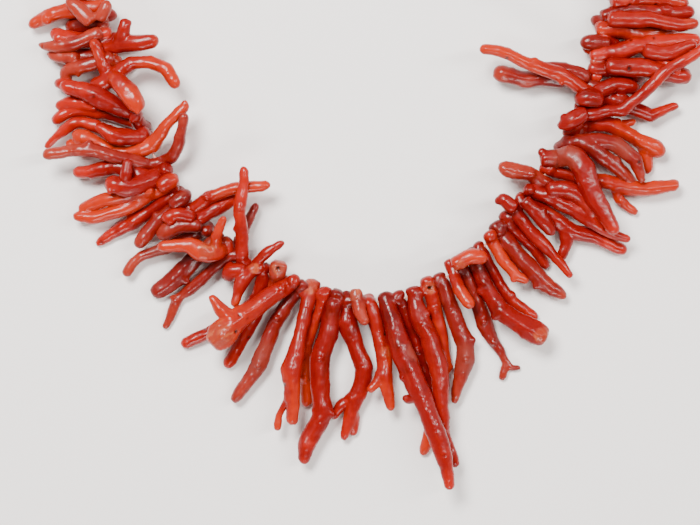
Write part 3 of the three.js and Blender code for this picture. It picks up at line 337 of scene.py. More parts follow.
@dataclass(frozen=True)
class PolishedCoral:
    """Precious red coral, a dense calcite, tumbled and waxed to a wet-looking gloss.

    The colour runs from a deep heart near the drilled end to a clearer orange tip, broken by
    paler growth, and the surface keeps soft flutes and small open pores under the polish. The
    tip's clearer orange is partly the coral's own colour and partly painted glow, for light that
    shines through thin coral, and the near-black in the pores and the drilled hole is painted
    shade. Light goes a little way into it, so thin tips glow. A band is where a pattern starts
    to show and where it shows in full. The base colours are deep, because the gloss and the view
    lift them.
    """

    name: str
    heart: str
    body: str
    # The tip colour is partly the coral's own clearer orange and partly painted glow of light through thin
    # tips.
    tip: str
    pale: str = "#942a14"
    flesh: str = "#a84c2c"
    raw: str = "#7a2216"
    # Painted shade: this near-black red darkens the pores and the drilled hole, where shade falls in the
    # recesses.
    shaded_pore: str = "#300604"
    growth_mm: float = 5.0
    growth_detail: float = 3.0
    growth_weight: float = 1.5
    mottle_mm: float = 1.3
    mottle_detail: float = 4.0
    flute_mm: float = 0.55
    flute_detail: float = 2.0
    pattern_roughness: float = 0.55
    body_band: tuple[float, float] = (0.5, 1.15)
    tip_band: tuple[float, float] = (1.3, 1.95)
    fleck_band: tuple[float, float] = (0.58, 0.78)
    fleck_share: float = 0.5
    flesh_band: tuple[float, float] = (0.5, 0.68)
    patch_band: tuple[float, float] = (0.7, 1.5)
    worn_band: tuple[float, float] = (0.56, 0.72)
    roughness: float = 0.29
    worn_roughness: float = 0.42
    ior: float = 1.47
    specular_level: float = 0.32
    glow: float = 0.22
    glow_spread: tuple[float, float, float] = (1.0, 0.22, 0.12)
    glow_depth_mm: float = 0.9
    wax: float = 0.08
    wax_roughness: float = 0.09
    flute_relief: Relief = Relief(0.4, 0.12)
    mottle_relief: Relief = Relief(0.2, 0.3)

    def build(self) -> bpy.types.Material:
        """The finish as a node material."""
        material, tree, place = new_finish(self.name)
        facts = {
            name: add_node(tree, "ShaderNodeAttribute", attribute_name=name).outputs["Fac"]
            for name in ("toward_tip", "tint", "pit", "pale", "raw")
        }
        grain = add_node(tree, "ShaderNodeAttribute", attribute_name="grain").outputs["Vector"]
        patterns = {}
        for name, where, size_mm, detail in (
            ("growth", place, self.growth_mm, self.growth_detail),
            ("mottle", grain, self.mottle_mm, self.mottle_detail),
            ("flutes", grain, self.flute_mm, self.flute_detail),
        ):
            inputs = {"Vector": where, "Scale": 1 / (size_mm * MM), "Detail": detail}
            inputs["Roughness"] = self.pattern_roughness
            patterns[name] = add_node(tree, "ShaderNodeTexNoise", inputs).outputs["Fac"]
        shares = self._shares(tree, facts, patterns)
        worn = add_node(tree, "ShaderNodeMath", {0: shares["worn"], 1: facts["raw"]}, operation="MAXIMUM")
        inputs = {"Value": worn.outputs[0], "To Min": self.roughness, "To Max": self.worn_roughness}
        shader_inputs = {
            "Base Color": self._colour(tree, facts, shares),
            "Roughness": add_node(tree, "ShaderNodeMapRange", inputs).outputs["Result"],
            "IOR": self.ior,
            "Specular IOR Level": self.specular_level,
            "Subsurface Weight": self.glow,
            "Subsurface Radius": self.glow_spread,
            "Subsurface Scale": self.glow_depth_mm * MM,
            "Coat Weight": self.wax,
            "Coat Roughness": self.wax_roughness,
            "Normal": self._relief(tree, patterns),
        }
        shade(tree, shader_inputs)
        return material

    def _shares(
        self,
        tree: bpy.types.NodeTree,
        facts: dict[str, bpy.types.NodeSocket],
        patterns: dict[str, bpy.types.NodeSocket],
    ) -> dict[str, bpy.types.NodeSocket]:
        """Works out how far each layer of the colour shows.

        Args:
            tree: The finish's tree.
            facts: What the skin stored at each point.
            patterns: The noises over the surface.

        Returns:
            A share from 0 to 1 by the layer's name.
        """
        growth, mottle = patterns["growth"], patterns["mottle"]
        wander = add_node(tree, "ShaderNodeMath", {0: growth, 1: self.growth_weight}, operation="MULTIPLY")
        sums = {}
        for name, (first, *rest) in (
            ("reach", (facts["toward_tip"], wander.outputs[0], facts["tint"])),
            ("pale", (facts["pale"], mottle)),
            ("raw", (facts["raw"], mottle)),
        ):
            for term in rest:
                first = add_node(tree, "ShaderNodeMath", {0: first, 1: term}, operation="ADD").outputs[0]
            sums[name] = first
        shares = {}
        for name, value, (low, high) in (
            ("body", sums["reach"], self.body_band),
            ("tip", sums["reach"], self.tip_band),
            ("fleck", mottle, self.fleck_band),
            ("flesh", mottle, self.flesh_band),
            ("pale", sums["pale"], self.patch_band),
            ("raw", sums["raw"], self.patch_band),
            ("worn", growth, self.worn_band),
        ):
            inputs = {"Value": value, "From Min": low, "From Max": high}
            node = add_node(tree, "ShaderNodeMapRange", inputs, interpolation_type="SMOOTHSTEP")
            shares[name] = node.outputs["Result"]
        inputs = {0: shares["fleck"], 1: self.fleck_share}
        shares["fleck"] = add_node(tree, "ShaderNodeMath", inputs, operation="MULTIPLY").outputs[0]
        return shares

    def _colour(
        self,
        tree: bpy.types.NodeTree,
        facts: dict[str, bpy.types.NodeSocket],
        shares: dict[str, bpy.types.NodeSocket],
    ) -> bpy.types.NodeSocket:
        """Lays the colours over one another, from the heart's outwards, and last paints shade into the pores
        and the drilled hole.

        Args:
            tree: The finish's tree.
            facts: What the skin stored at each point.
            shares: How far each layer shows.

        Returns:
            The colour at each point.
        """
        # A mix of colours has its colours on inputs 6 and 7, and its result on output 2.
        inputs = {0: shares["flesh"], 6: linear(self.pale), 7: linear(self.flesh)}
        flesh = add_node(tree, "ShaderNodeMix", inputs, data_type="RGBA").outputs[2]
        colour = linear(self.heart)
        for share, layer in (
            (shares["body"], linear(self.body)),
            # The tip layer is partly the coral's own orange and partly painted glow of light through thin
            # coral.
            (shares["tip"], linear(self.tip)),
            (shares["fleck"], linear(self.pale)),
            (shares["pale"], flesh),
            (shares["raw"], linear(self.raw)),
            # Painted shade: the pores and the drilled hole are darkened to near black.
            (facts["pit"], linear(self.shaded_pore)),
        ):
            inputs = {0: share, 6: colour, 7: layer}
            colour = add_node(tree, "ShaderNodeMix", inputs, data_type="RGBA").outputs[2]
        return colour

    def _relief(
        self, tree: bpy.types.NodeTree, patterns: dict[str, bpy.types.NodeSocket]
    ) -> bpy.types.NodeSocket:
        """Raises lengthwise flutes about half a millimetre apart, and faintly the mottling.

        Args:
            tree: The finish's tree.
            patterns: The noises over the surface.

        Returns:
            The bumped normal.
        """
        inputs = {}
        for name, relief in (("flutes", self.flute_relief), ("mottle", self.mottle_relief)):
            inputs["Height"] = patterns[name]
            inputs["Strength"] = relief.strength
            inputs["Distance"] = relief.height_mm * MM
            inputs["Normal"] = add_node(tree, "ShaderNodeBump", inputs).outputs["Normal"]
        return inputs["Normal"]


# Each tone's tip is partly painted glow, and its pores and drilled hole get painted shade.
CORAL_TONES: dict[Tone, PolishedCoral] = {
    Tone.RED: PolishedCoral("polished_coral_red", heart="#580301", body="#7a0501", tip="#a01301"),
    Tone.ORANGE: PolishedCoral("polished_coral_orange", heart="#700501", body="#860a01", tip="#a82201"),
    Tone.ROSE: PolishedCoral(
        "polished_coral_rose", heart="#560705", body="#72110b", tip="#922818", pale="#8c3626"
    ),
}


@dataclass(frozen=True)
class BeadingSilk:
    """Twisted silk beading thread, pale and matt, with a faint sheen along its two plies.

    Its fibres are drawn about ten times as coarse as real ones, which would be too fine to show.
    """

    name: str = "twisted_silk_thread"
    colour: str = "#cc8c7a"
    roughness: float = 0.7
    sheen: float = 0.2
    fibre_mm: float = 0.12
    fibre_relief: Relief = Relief(0.3, 0.03)

    def build(self) -> bpy.types.Material:
        """The finish as a node material."""
        material, tree, place = new_finish(self.name)
        inputs = {"Vector": place, "Scale": 1 / (self.fibre_mm * MM)}
        fibres = add_node(tree, "ShaderNodeTexNoise", inputs).outputs["Fac"]
        inputs = {"Height": fibres, "Strength": self.fibre_relief.strength}
        inputs["Distance"] = self.fibre_relief.height_mm * MM
        shader_inputs = {
            "Base Color": linear(self.colour),
            "Roughness": self.roughness,
            "Sheen Weight": self.sheen,
            "Normal": add_node(tree, "ShaderNodeBump", inputs).outputs["Normal"],
        }
        shade(tree, shader_inputs)
        return material


@dataclass(frozen=True)
class PolishedGilt:
    """Gold-plated brass, turned and polished, with the lathe's faint rings left in it.

    The rings are drawn about ten times as coarse as real ones, which would be too fine to show.
    """

    name: str = "turned_gilt_brass"
    colour: str = "#d9a857"
    smudge_mm: float = 2.5
    polished_roughness: float = 0.16
    smudged_roughness: float = 0.32
    ring_mm: float = 0.9
    ring_relief: Relief = Relief(0.08, 0.02)

    def build(self) -> bpy.types.Material:
        """The finish as a node material."""
        material, tree, place = new_finish(self.name)
        inputs = {"Vector": place, "Scale": 1 / (self.smudge_mm * MM)}
        smudge = add_node(tree, "ShaderNodeTexNoise", inputs).outputs["Fac"]
        inputs = {"Value": smudge, "To Min": self.polished_roughness, "To Max": self.smudged_roughness}
        roughness = add_node(tree, "ShaderNodeMapRange", inputs).outputs["Result"]
        inputs = {"Vector": place, "Scale": 1 / (self.ring_mm * MM)}
        rings = add_node(tree, "ShaderNodeTexWave", inputs, bands_direction="X").outputs["Fac"]
        inputs = {"Height": rings, "Strength": self.ring_relief.strength}
        inputs["Distance"] = self.ring_relief.height_mm * MM
        shader_inputs = {
            "Base Color": linear(self.colour),
            "Metallic": 1.0,
            "Roughness": roughness,
            "Normal": add_node(tree, "ShaderNodeBump", inputs).outputs["Normal"],
        }
        shade(tree, shader_inputs)
        return material


@dataclass
class CoralSkin:
    """The Geometry Nodes tree that turns a faceted limb into worn natural coral.

    The heights and widths are the sizes of real features on polished branch coral. A band is
    where something starts to show and where it shows in full.
    """

    grid_mm: float = 0.34
    rounding: int = 8
    fullness_mm: float = 0.55
    fullness_at_root: float = 1.15
    fullness_at_tip: float = 0.7
    head_radius_mm: float = 1.25
    head_fineness: int = 2
    bud_length_mm: float = 0.8
    bud_shortest: float = 0.6
    bud_foot_mm: float = 0.6
    bud_radii_mm: tuple[float, ...] = (0.75, 0.7, 0.6, 0.4)
    bud_sides: int = 8
    bud_pitch_mm: float = 16.0
    bud_clearance_mm: float = 4.0
    bud_farthest: float = 0.8
    bud_lowest_slope: float = -0.3
    hole_radius_mm: float = 0.55
    hole_depth_mm: float = 0.9
    stub_height_mm: float = 2.6
    stub_steps: int = 3
    stub_sides: int = 14
    bend_mm: float = 0.45
    bend_width_mm: float = 9.0
    bend_spread: tuple[float, float, float] = (4.0, 4.0, 1.0)
    bend_band_mm: tuple[float, float] = (2.0, 8.0)
    swell_spread: float = 2.4
    lump_height_mm: float = 0.45
    lump_width_mm: float = 5.2
    lump_detail: float = 1.5
    knot_height_mm: float = 0.16
    knot_width_mm: float = 1.7
    knot_detail: float = 2.0
    knot_seed_step: float = 7.0
    knots_on_pale: float = 1.6
    pit_depth_mm: float = 0.3
    pit_spacing_mm: float = 3.6
    pit_band: tuple[float, float] = (0.2, 0.07)
    patch_band: tuple[float, float] = (1.1, 0.6)
    grain_length: float = 7.0
    tree: bpy.types.NodeTree = field(init=False)

    def __post_init__(self) -> None:
        """Builds the tree once, for every branch to use."""
        self.tree = bpy.data.node_groups.new("coral_skin", "GeometryNodeTree")
        self._declare()
        self._wire()

    def _declare(self) -> None:
        """Gives the tree its named inputs and its output."""
        sockets = self.tree.interface
        by_kind = {
            "Geometry": ("Geometry",),
            "Int": ("Rounding",),
            "Vector": ("Root", "Axis", "Pale Place", "Raw Place", "Hole Place"),
            "Float": (
                "Reach", "Fullness", "Bend", "Bend Width", "Lump Height", "Lump Width",
                "Knot Height", "Knot Width", "Pit Depth", "Pit Spacing",
                "Pale Reach", "Raw Reach", "Hole Reach", "Seed", "Tint",
            ),
            "Material": ("Finish",),
        }
        for kind, names in by_kind.items():
            for name in names:
                sockets.new_socket(name, in_out="INPUT", socket_type=f"NodeSocket{kind}")
        sockets.new_socket("Geometry", in_out="OUTPUT", socket_type="NodeSocketGeometry")

    def _swell(self, height: Any, width: Any, seed: Any, detail: float) -> bpy.types.NodeSocket:
        """Makes smooth swells over a limb.

        Args:
            height: How far they go either way, about.
            width: How wide one is, about.
            seed: Which swells they are.
            detail: How many finer swells ride on them.

        Returns:
            The swell's height at each point.
        """
        tree = self.tree
        place = add_node(tree, "GeometryNodeInputPosition").outputs[0]
        scale = add_node(tree, "ShaderNodeMath", {0: 1.0, 1: width}, operation="DIVIDE").outputs[0]
        inputs = {"Vector": place, "W": seed, "Scale": scale, "Detail": detail}
        swell = add_node(tree, "ShaderNodeTexNoise", inputs, noise_dimensions="4D").outputs["Fac"]
        for operation, amount in (("SUBTRACT", 0.5), ("MULTIPLY", self.swell_spread), ("MULTIPLY", height)):
            swell = add_node(tree, "ShaderNodeMath", {0: swell, 1: amount}, operation=operation).outputs[0]
        return swell

    def _within(self, centre: Any, reach: Any) -> bpy.types.NodeSocket:
        """Marks a round patch of the plan.

        Args:
            centre: The patch's middle.
            reach: How far it goes.

        Returns:
            A share that is 1 well inside it and 0 past its rim.
        """
        tree = self.tree
        place = add_node(tree, "GeometryNodeInputPosition").outputs[0]
        flat = add_node(tree, "ShaderNodeVectorMath", {0: place, 1: (1, 1, 0)}, operation="MULTIPLY")
        gap = add_node(tree, "ShaderNodeVectorMath", {0: flat.outputs[0], 1: centre}, operation="DISTANCE")
        part = add_node(tree, "ShaderNodeMath", {0: gap.outputs["Value"], 1: reach}, operation="DIVIDE")
        rim, full = self.patch_band
        inputs = {"Value": part.outputs[0], "From Min": rim, "From Max": full}
        return add_node(tree, "ShaderNodeMapRange", inputs).outputs["Result"]

    def _bends(self, given: Any, away: bpy.types.NodeSocket) -> bpy.types.NodeSocket:
        """Makes slow bends of the whole limb, which die out where the thread holds it.

        Args:
            given: The tree's inputs.
            away: How far each point is from where the thread goes through.

        Returns:
            The shift of each point.
        """
        tree = self.tree
        place = add_node(tree, "GeometryNodeInputPosition").outputs[0]
        scale = add_node(tree, "ShaderNodeMath", {0: 1.0, 1: given["Bend Width"]}, operation="DIVIDE")
        inputs = {"Vector": place, "W": given["Seed"], "Scale": scale.outputs[0], "Detail": 0.0}
        bend = add_node(tree, "ShaderNodeTexNoise", inputs, noise_dimensions="4D").outputs["Color"]
        for operation, amount in (("SUBTRACT", (0.5, 0.5, 0.5)), ("MULTIPLY", self.bend_spread)):
            node = add_node(tree, "ShaderNodeVectorMath", {0: bend, 1: amount}, operation=operation)
            bend = node.outputs[0]
        still, loose = self.bend_band_mm
        inputs = {"Value": away, "From Min": still * MM, "From Max": loose * MM}
        held = add_node(tree, "ShaderNodeMapRange", inputs).outputs["Result"]
        size = add_node(tree, "ShaderNodeMath", {0: given["Bend"], 1: held}, operation="MULTIPLY").outputs[0]
        return add_node(tree, "ShaderNodeVectorMath", {0: bend, "Scale": size}, operation="SCALE").outputs[0]

    def _grain(self, place: bpy.types.NodeSocket, axis: bpy.types.NodeSocket) -> bpy.types.NodeSocket:
        """Squeezes the place along the limb, so that a pattern read there is drawn out lengthwise.

        Args:
            place: Each point's place.
            axis: The direction from the root to the tip.

        Returns:
            The squeezed place.
        """
        tree = self.tree
        along = add_node(tree, "ShaderNodeVectorMath", {0: place, 1: axis}, operation="DOT_PRODUCT")
        inputs = {0: along.outputs["Value"], 1: 1 - 1 / self.grain_length}
        excess = add_node(tree, "ShaderNodeMath", inputs, operation="MULTIPLY").outputs[0]
        back = add_node(tree, "ShaderNodeVectorMath", {0: axis, "Scale": excess}, operation="SCALE")
        inputs = {0: place, 1: back.outputs[0]}
        return add_node(tree, "ShaderNodeVectorMath", inputs, operation="SUBTRACT").outputs[0]

    def _pits(
        self, given: Any, place: bpy.types.NodeSocket, hole: bpy.types.NodeSocket
    ) -> bpy.types.NodeSocket:
        """Scatters open pores, and adds the stub's drilled hole to them; the finish paints shade into both.

        Args:
            given: The tree's inputs.
            place: Each point's place.
            hole: How far inside the drilled hole each point is.

        Returns:
            A share that is 1 inside a pore and 0 between them.
        """
        tree = self.tree
        scale = add_node(tree, "ShaderNodeMath", {0: 1.0, 1: given["Pit Spacing"]}, operation="DIVIDE")
        inputs = {"Vector": place, "W": given["Seed"], "Scale": scale.outputs[0]}
        cells = add_node(tree, "ShaderNodeTexVoronoi", inputs, voronoi_dimensions="4D").outputs["Distance"]
        rim, full = self.pit_band
        inputs = {"Value": cells, "From Min": full, "From Max": rim, "To Min": 1.0, "To Max": 0.0}
        shaded_pore = add_node(tree, "ShaderNodeMapRange", inputs, interpolation_type="SMOOTHSTEP").outputs["Result"]
        return add_node(tree, "ShaderNodeMath", {0: shaded_pore, 1: hole}, operation="MAXIMUM").outputs[0]

    def _rise(
        self,
        given: Any,
        toward_tip: bpy.types.NodeSocket,
        pit: bpy.types.NodeSocket,
        patches: dict[str, bpy.types.NodeSocket],
    ) -> bpy.types.NodeSocket:
        """Adds up what swells the surface and takes away what sinks it.

        Args:
            given: The tree's inputs.
            toward_tip: How far towards the tip each point is.
            pit: How far inside a pore or the drilled hole it is.
            patches: How far inside each kind of patch it is.

        Returns:
            How far each point is pushed outwards.
        """
        tree = self.tree
        seed = add_node(tree, "ShaderNodeMath", {0: given["Seed"], 1: self.knot_seed_step}, operation="ADD")
        lumps = self._swell(given["Lump Height"], given["Lump Width"], given["Seed"], self.lump_detail)
        knots = self._swell(given["Knot Height"], given["Knot Width"], seed.outputs[0], self.knot_detail)
        inputs = {"Value": toward_tip, "To Min": self.fullness_at_root, "To Max": self.fullness_at_tip}
        taper = add_node(tree, "ShaderNodeMapRange", inputs).outputs["Result"]
        # Each step has its name, its operation and two terms. A term in quotes is an earlier step.
        steps = (
            ("more", "MULTIPLY", patches["Pale"], self.knots_on_pale),
            ("rougher", "ADD", 1.0, "more"),
            ("knots", "MULTIPLY", knots, "rougher"),
            ("full", "MULTIPLY", given["Fullness"], taper),
            ("uneven", "ADD", lumps, "knots"),
            ("raised", "ADD", "uneven", "full"),
            ("drilled", "MULTIPLY", patches["Hole"], self.hole_depth_mm * MM),
            ("depth", "ADD", given["Pit Depth"], "drilled"),
            ("sunk", "MULTIPLY", pit, "depth"),
            ("rise", "SUBTRACT", "raised", "sunk"),
        )
        found: dict[str, bpy.types.NodeSocket] = {}
        for name, operation, *terms in steps:
            first, second = (found[term] if isinstance(term, str) else term for term in terms)
            node = add_node(tree, "ShaderNodeMath", {0: first, 1: second}, operation=operation)
            found[name] = node.outputs[0]
        return found["rise"]

    def _wire(self) -> None:
        """Wires the tree.

        It rounds and bends the limb, pushes its surface out and in, keeps it above the table, and
        stores what the finish reads.
        """
        tree = self.tree
        given = add_node(tree, "NodeGroupInput").outputs
        place = add_node(tree, "GeometryNodeInputPosition").outputs[0]
        inputs = {"Iterations": given["Rounding"], "Value": place}
        blurred = add_node(tree, "GeometryNodeBlurAttribute", inputs, data_type="FLOAT_VECTOR")
        inputs = {"Geometry": given["Geometry"], "Position": blurred.outputs["Value"]}
        form = add_node(tree, "GeometryNodeSetPosition", inputs).outputs[0]
        away = add_node(tree, "ShaderNodeVectorMath", {0: place, 1: given["Root"]}, operation="DISTANCE")
        away = away.outputs["Value"]
        inputs = {"Geometry": form, "Offset": self._bends(given, away)}
        form = add_node(tree, "GeometryNodeSetPosition", inputs).outputs[0]
        toward_tip = add_node(tree, "ShaderNodeMath", {0: away, 1: given["Reach"]}, operation="DIVIDE")
        toward_tip = toward_tip.outputs[0]
        patches = {
            kind: self._within(given[f"{kind} Place"], given[f"{kind} Reach"])
            for kind in ("Pale", "Raw", "Hole")
        }
        pit = self._pits(given, place, patches["Hole"])
        # The finish reads this share to paint shade into the pores and the drilled hole.
        form = self._stored(form, "FLOAT", {"pit": pit})
        normal = add_node(tree, "GeometryNodeInputNormal").outputs[0]
        inputs = {0: normal, "Scale": self._rise(given, toward_tip, pit, patches)}
        push = add_node(tree, "ShaderNodeVectorMath", inputs, operation="SCALE").outputs[0]
        form = add_node(tree, "GeometryNodeSetPosition", {"Geometry": form, "Offset": push}).outputs[0]
        lowest = add_node(tree, "ShaderNodeVectorMath", {0: place, 1: ON_THE_TABLE}, operation="MAXIMUM")
        inputs = {"Geometry": form, "Position": lowest.outputs[0]}
        form = add_node(tree, "GeometryNodeSetPosition", inputs).outputs[0]
        facts = {"toward_tip": toward_tip, "tint": given["Tint"]}
        facts |= {"pale": patches["Pale"], "raw": patches["Raw"]}
        form = self._stored(form, "FLOAT", facts)
        form = self._stored(form, "FLOAT_VECTOR", {"grain": self._grain(place, given["Axis"])})
        form = add_node(tree, "GeometryNodeSetShadeSmooth", {"Geometry": form}).outputs[0]
        form = add_node(tree, "GeometryNodeRealizeInstances", {"Geometry": form}).outputs[0]
        dressed = add_node(tree, "GeometryNodeSetMaterial", {"Geometry": form, "Material": given["Finish"]})
        add_node(tree, "NodeGroupOutput", {"Geometry": dressed.outputs[0]})

    def _stored(
        self, form: bpy.types.NodeSocket, kind: str, facts: dict[str, bpy.types.NodeSocket]
    ) -> bpy.types.NodeSocket:
        """Stores values at each point under the names that the finish reads.

        Args:
            form: The geometry.
            kind: The values' data type.
            facts: Each value by its name.

        Returns:
            The geometry with the values on it.
        """
        for name, value in facts.items():
            inputs = {"Geometry": form, "Name": name, "Value": value}
            form = add_node(
                self.tree, "GeometryNodeStoreNamedAttribute", inputs, data_type=kind, domain="POINT"
            ).outputs[0]
        return form

    def _budded(
        self, form: bpy.types.Mesh, root: Vector, seed: int, character: Character, origin: Vector
    ) -> None:
        """Closes the drilled head, and sets its stub and a few short buds, broken off twigs, along a form.

        Args:
            form: The mesh that they are added to.
            root: Where the thread goes through it.
            seed: Which places the buds take.
            character: Its head's size and its stub.
            origin: The plan's origin in the frame.
        """
        chance = random.Random(seed)
        bm = bmesh.new()
        bm.from_mesh(form)
        bm.normal_update()
        reach = max(((v.co - root).length for v in bm.verts))
        near, far = self.bud_clearance_mm * MM, self.bud_farthest * reach
        places = [
            v for v in bm.verts if near < (v.co - root).length < far and v.normal.z > self.bud_lowest_slope
        ]
        radii = [radius * MM for radius in self.bud_radii_mm]
        steps = len(radii) - 1
        for vertex in chance.sample(places, min(len(places), round(reach / (self.bud_pitch_mm * MM)))):
            size = chance.uniform(self.bud_shortest, 1.0) * self.bud_length_mm * MM
            start = vertex.co - vertex.normal * self.bud_foot_mm * MM
            whole = size + self.bud_foot_mm * MM
            line = np.array([tuple(start + vertex.normal * whole * k / steps) for k in range(steps + 1)])
            tube(bm, line, radii, self.bud_sides)
        radius = self.head_radius_mm * character.head * MM
        ball = bmesh.ops.create_icosphere(bm, subdivisions=self.head_fineness, radius=radius)
        bmesh.ops.translate(bm, vec=root, verts=ball["verts"])
        if character.stub:
            foot = origin + Vector((character.stub.x_mm, character.stub.y_mm, 0)) * MM
            foot.z = root.z
            rises = [self.stub_height_mm * MM * k / self.stub_steps for k in range(self.stub_steps + 1)]
            line = np.array([tuple(foot + Vector((0, 0, rise))) for rise in rises])
            tube(bm, line, [character.stub.reach_mm * MM] * len(rises), self.stub_sides)
        bm.to_mesh(form)
        bm.free()

    def grow(
        self,
        form: bpy.types.Mesh,
        name: str,
        root: Vector,
        finish: bpy.types.Material,
        seed: int,
        character: Character,
        origin: Vector,
    ) -> bpy.types.Object:
        """Grows the skin over a faceted form.

        Args:
            form: A closed mesh, or several that run into one another.
            name: The new piece's name.
            root: Where the thread goes through it.
            finish: The coral's material.
            seed: Which lumps, buds and pits it gets.
            character: Its tint, patches and plumpness.
            origin: The plan's origin in the frame.

        Returns:
            The finished piece as a plain mesh object.
        """
        self._budded(form, root, seed, character, origin)
        holder = shown(form, name)
        remesh = holder.modifiers.new("grid", "REMESH")
        remesh.mode = "VOXEL"
        remesh.voxel_size = self.grid_mm * MM
        skin = holder.modifiers.new("skin", "NODES")
        skin.node_group = self.tree
        tip = max((vertex.co for vertex in form.vertices), key=lambda place: (place - root).length)
        values = {
            "Root": root,
            "Axis": (tip - root).normalized(),
            "Reach": (tip - root).length,
            "Rounding": self.rounding,
            "Seed": float(seed),
            "Tint": character.tint,
            "Fullness": self.fullness_mm * character.plump * MM,
            "Bend": self.bend_mm * MM,
            "Bend Width": self.bend_width_mm * MM,
            "Lump Height": self.lump_height_mm * MM,
            "Lump Width": self.lump_width_mm * MM,
            "Knot Height": self.knot_height_mm * MM,
            "Knot Width": self.knot_width_mm * MM,
            "Pit Depth": self.pit_depth_mm * MM,
            "Pit Spacing": self.pit_spacing_mm * MM,
            "Finish": finish,
        }
        hole = replace(character.stub, reach_mm=self.hole_radius_mm) if character.stub else None
        for kind, mark in (("Pale", character.pale), ("Raw", character.raw), ("Hole", hole)):
            values[f"{kind} Place"] = origin + Vector((mark.x_mm, mark.y_mm, 0)) * MM if mark else FAR_AWAY
            values[f"{kind} Reach"] = mark.reach_mm * MM if mark else MM
        for item in self.tree.interface.items_tree:
            if item.in_out == "INPUT" and item.name in values:
                skin[item.identifier] = values[item.name]
        graph = bpy.context.evaluated_depsgraph_get()
        mesh = bpy.data.meshes.new_from_object(holder.evaluated_get(graph), depsgraph=graph)
        bpy.data.objects.remove(holder)
        mesh.name = name
        return shown(mesh, name)


@dataclass
class Route:
    """A smooth line through given points, walked at an even pace.

    The line is a centripetal Catmull-Rom curve, as the solids' thread is.
    """

    points: np.ndarray
    pace: float = 0.5 * MM
    stretch_steps: int = 60
    fewest_steps: int = 4
    look_ahead: float = 0.0015
    line: np.ndarray = field(init=False)
    run: np.ndarray = field(init=False)

    def __post_init__(self) -> None:
        """Walks the line once."""
        fine = self._fine_line()
        steps = np.linalg.norm(np.diff(fine, axis=0), axis=1)
        travelled = np.concatenate([[0.0], np.cumsum(steps)])
        count = max(self.fewest_steps, round(travelled[-1] / self.pace))
        self.run = np.linspace(0.0, travelled[-1], count + 1)
        self.line = np.stack([np.interp(self.run, travelled, fine[:, axis]) for axis in range(3)], axis=1)

    def _fine_line(self) -> np.ndarray:
        """The curve's points, with as many steps to each stretch between two given points."""
        given = self.points
        ends = (2 * given[0] - given[1], 2 * given[-1] - given[-2])
        padded = np.vstack([ends[0], given, ends[1]])
        pieces = []
        for a, b, c, d in zip(padded, padded[1:], padded[2:], padded[3:]):
            gaps = [max(np.linalg.norm(q - p), LEAST_GAP) ** 0.5 for p, q in ((a, b), (b, c), (c, d))]
            knots = np.cumsum([0.0] + gaps)
            t = np.linspace(knots[1], knots[2], self.stretch_steps, endpoint=False)[:, None]
            first = self._between(a, b, knots[0], knots[1], t)
            second = self._between(b, c, knots[1], knots[2], t)
            third = self._between(c, d, knots[2], knots[3], t)
            lower = self._between(first, second, knots[0], knots[2], t)
            upper = self._between(second, third, knots[1], knots[3], t)
            pieces.append(self._between(lower, upper, knots[1], knots[2], t))
        return np.vstack([*pieces, given[-1:]])

    def _between(
        self, low: np.ndarray, high: np.ndarray, start: float, end: float, t: np.ndarray
    ) -> np.ndarray:
        """Low at the start blended into high at the end."""
        share = (t - start) / (end - start)
        return low * (1 - share) + high * share

    @property
    def length(self) -> float:
        """The whole line's length."""
        return float(self.run[-1])

    def at(self, share: float) -> Vector:
        """The point at a share of the length."""
        run = share * self.length
        return Vector(float(np.interp(run, self.run, self.line[:, axis])) for axis in range(3))

    def along(self, share: float) -> Vector:
        """The direction at a share of the length."""
        before, after = max(share - self.look_ahead, 0.0), min(share + self.look_ahead, 1.0)
        return (self.at(after) - self.at(before)).normalized()

    def share_near(self, place: Vector) -> float:
        """The share of the length at which the line comes nearest to a place, seen from above."""
        gaps = np.linalg.norm(self.line[:, :2] - np.array(place.xy), axis=1)
        return float(self.run[int(gaps.argmin())] / self.length)


def tube(bm: bmesh.types.BMesh, line: np.ndarray, radii: Sequence[float], sides: int) -> None:
    """Adds a closed tube with flat ends along a line.

    Args:
        bm: The mesh that gets it.
        line: The centre line's points.
        radii: The radius at each of them.
        sides: How many sides it has.
    """
    normal = Vector((0.0, 0.0, 1.0))
    rings: list[list[bmesh.types.BMVert]] = []
    for i, centre in enumerate(line):
        tangent = Vector(line[min(i + 1, len(line) - 1)] - line[max(i - 1, 0)]).normalized()
        normal = (normal - tangent * normal.dot(tangent)).normalized()
        binormal = normal.cross(tangent)
        turns = (2 * math.pi * k / sides for k in range(sides))
        spokes = (normal * math.cos(turn) + binormal * math.sin(turn) for turn in turns)
        rings.append([bm.verts.new(Vector(centre) + spoke * radii[i]) for spoke in spokes])
    for low, high in zip(rings, rings[1:]):
        for k in range(sides):
            bm.faces.new((low[k], low[(k + 1) % sides], high[(k + 1) % sides], high[k]))
    bm.faces.new(rings[0][::-1])
    bm.faces.new(rings[-1])


def swept(points: np.ndarray, radii: Sequence[float]) -> tuple[np.ndarray, list[float]]:
    """A limb's line and radii in steps fine enough to grow a skin over, with a domed tip.

    Args:
        points: The limb's route.
        radii: The radius at each of its points.

    Returns:
        The fine line's points, and the radius at each.
    """
    route = Route(points, LIMB_STEP)
    marks = [route.run[np.linalg.norm(route.line - point, axis=1).argmin()] for point in points]
    spread = np.interp(route.run, marks, radii)
    dome = np.clip((route.length - route.run) / spread, 0.0, 1.0)
    return route.line, list(spread * (TIP_SHARE + (1 - TIP_SHARE) * np.sqrt(1 - (1 - dome) ** 2)))


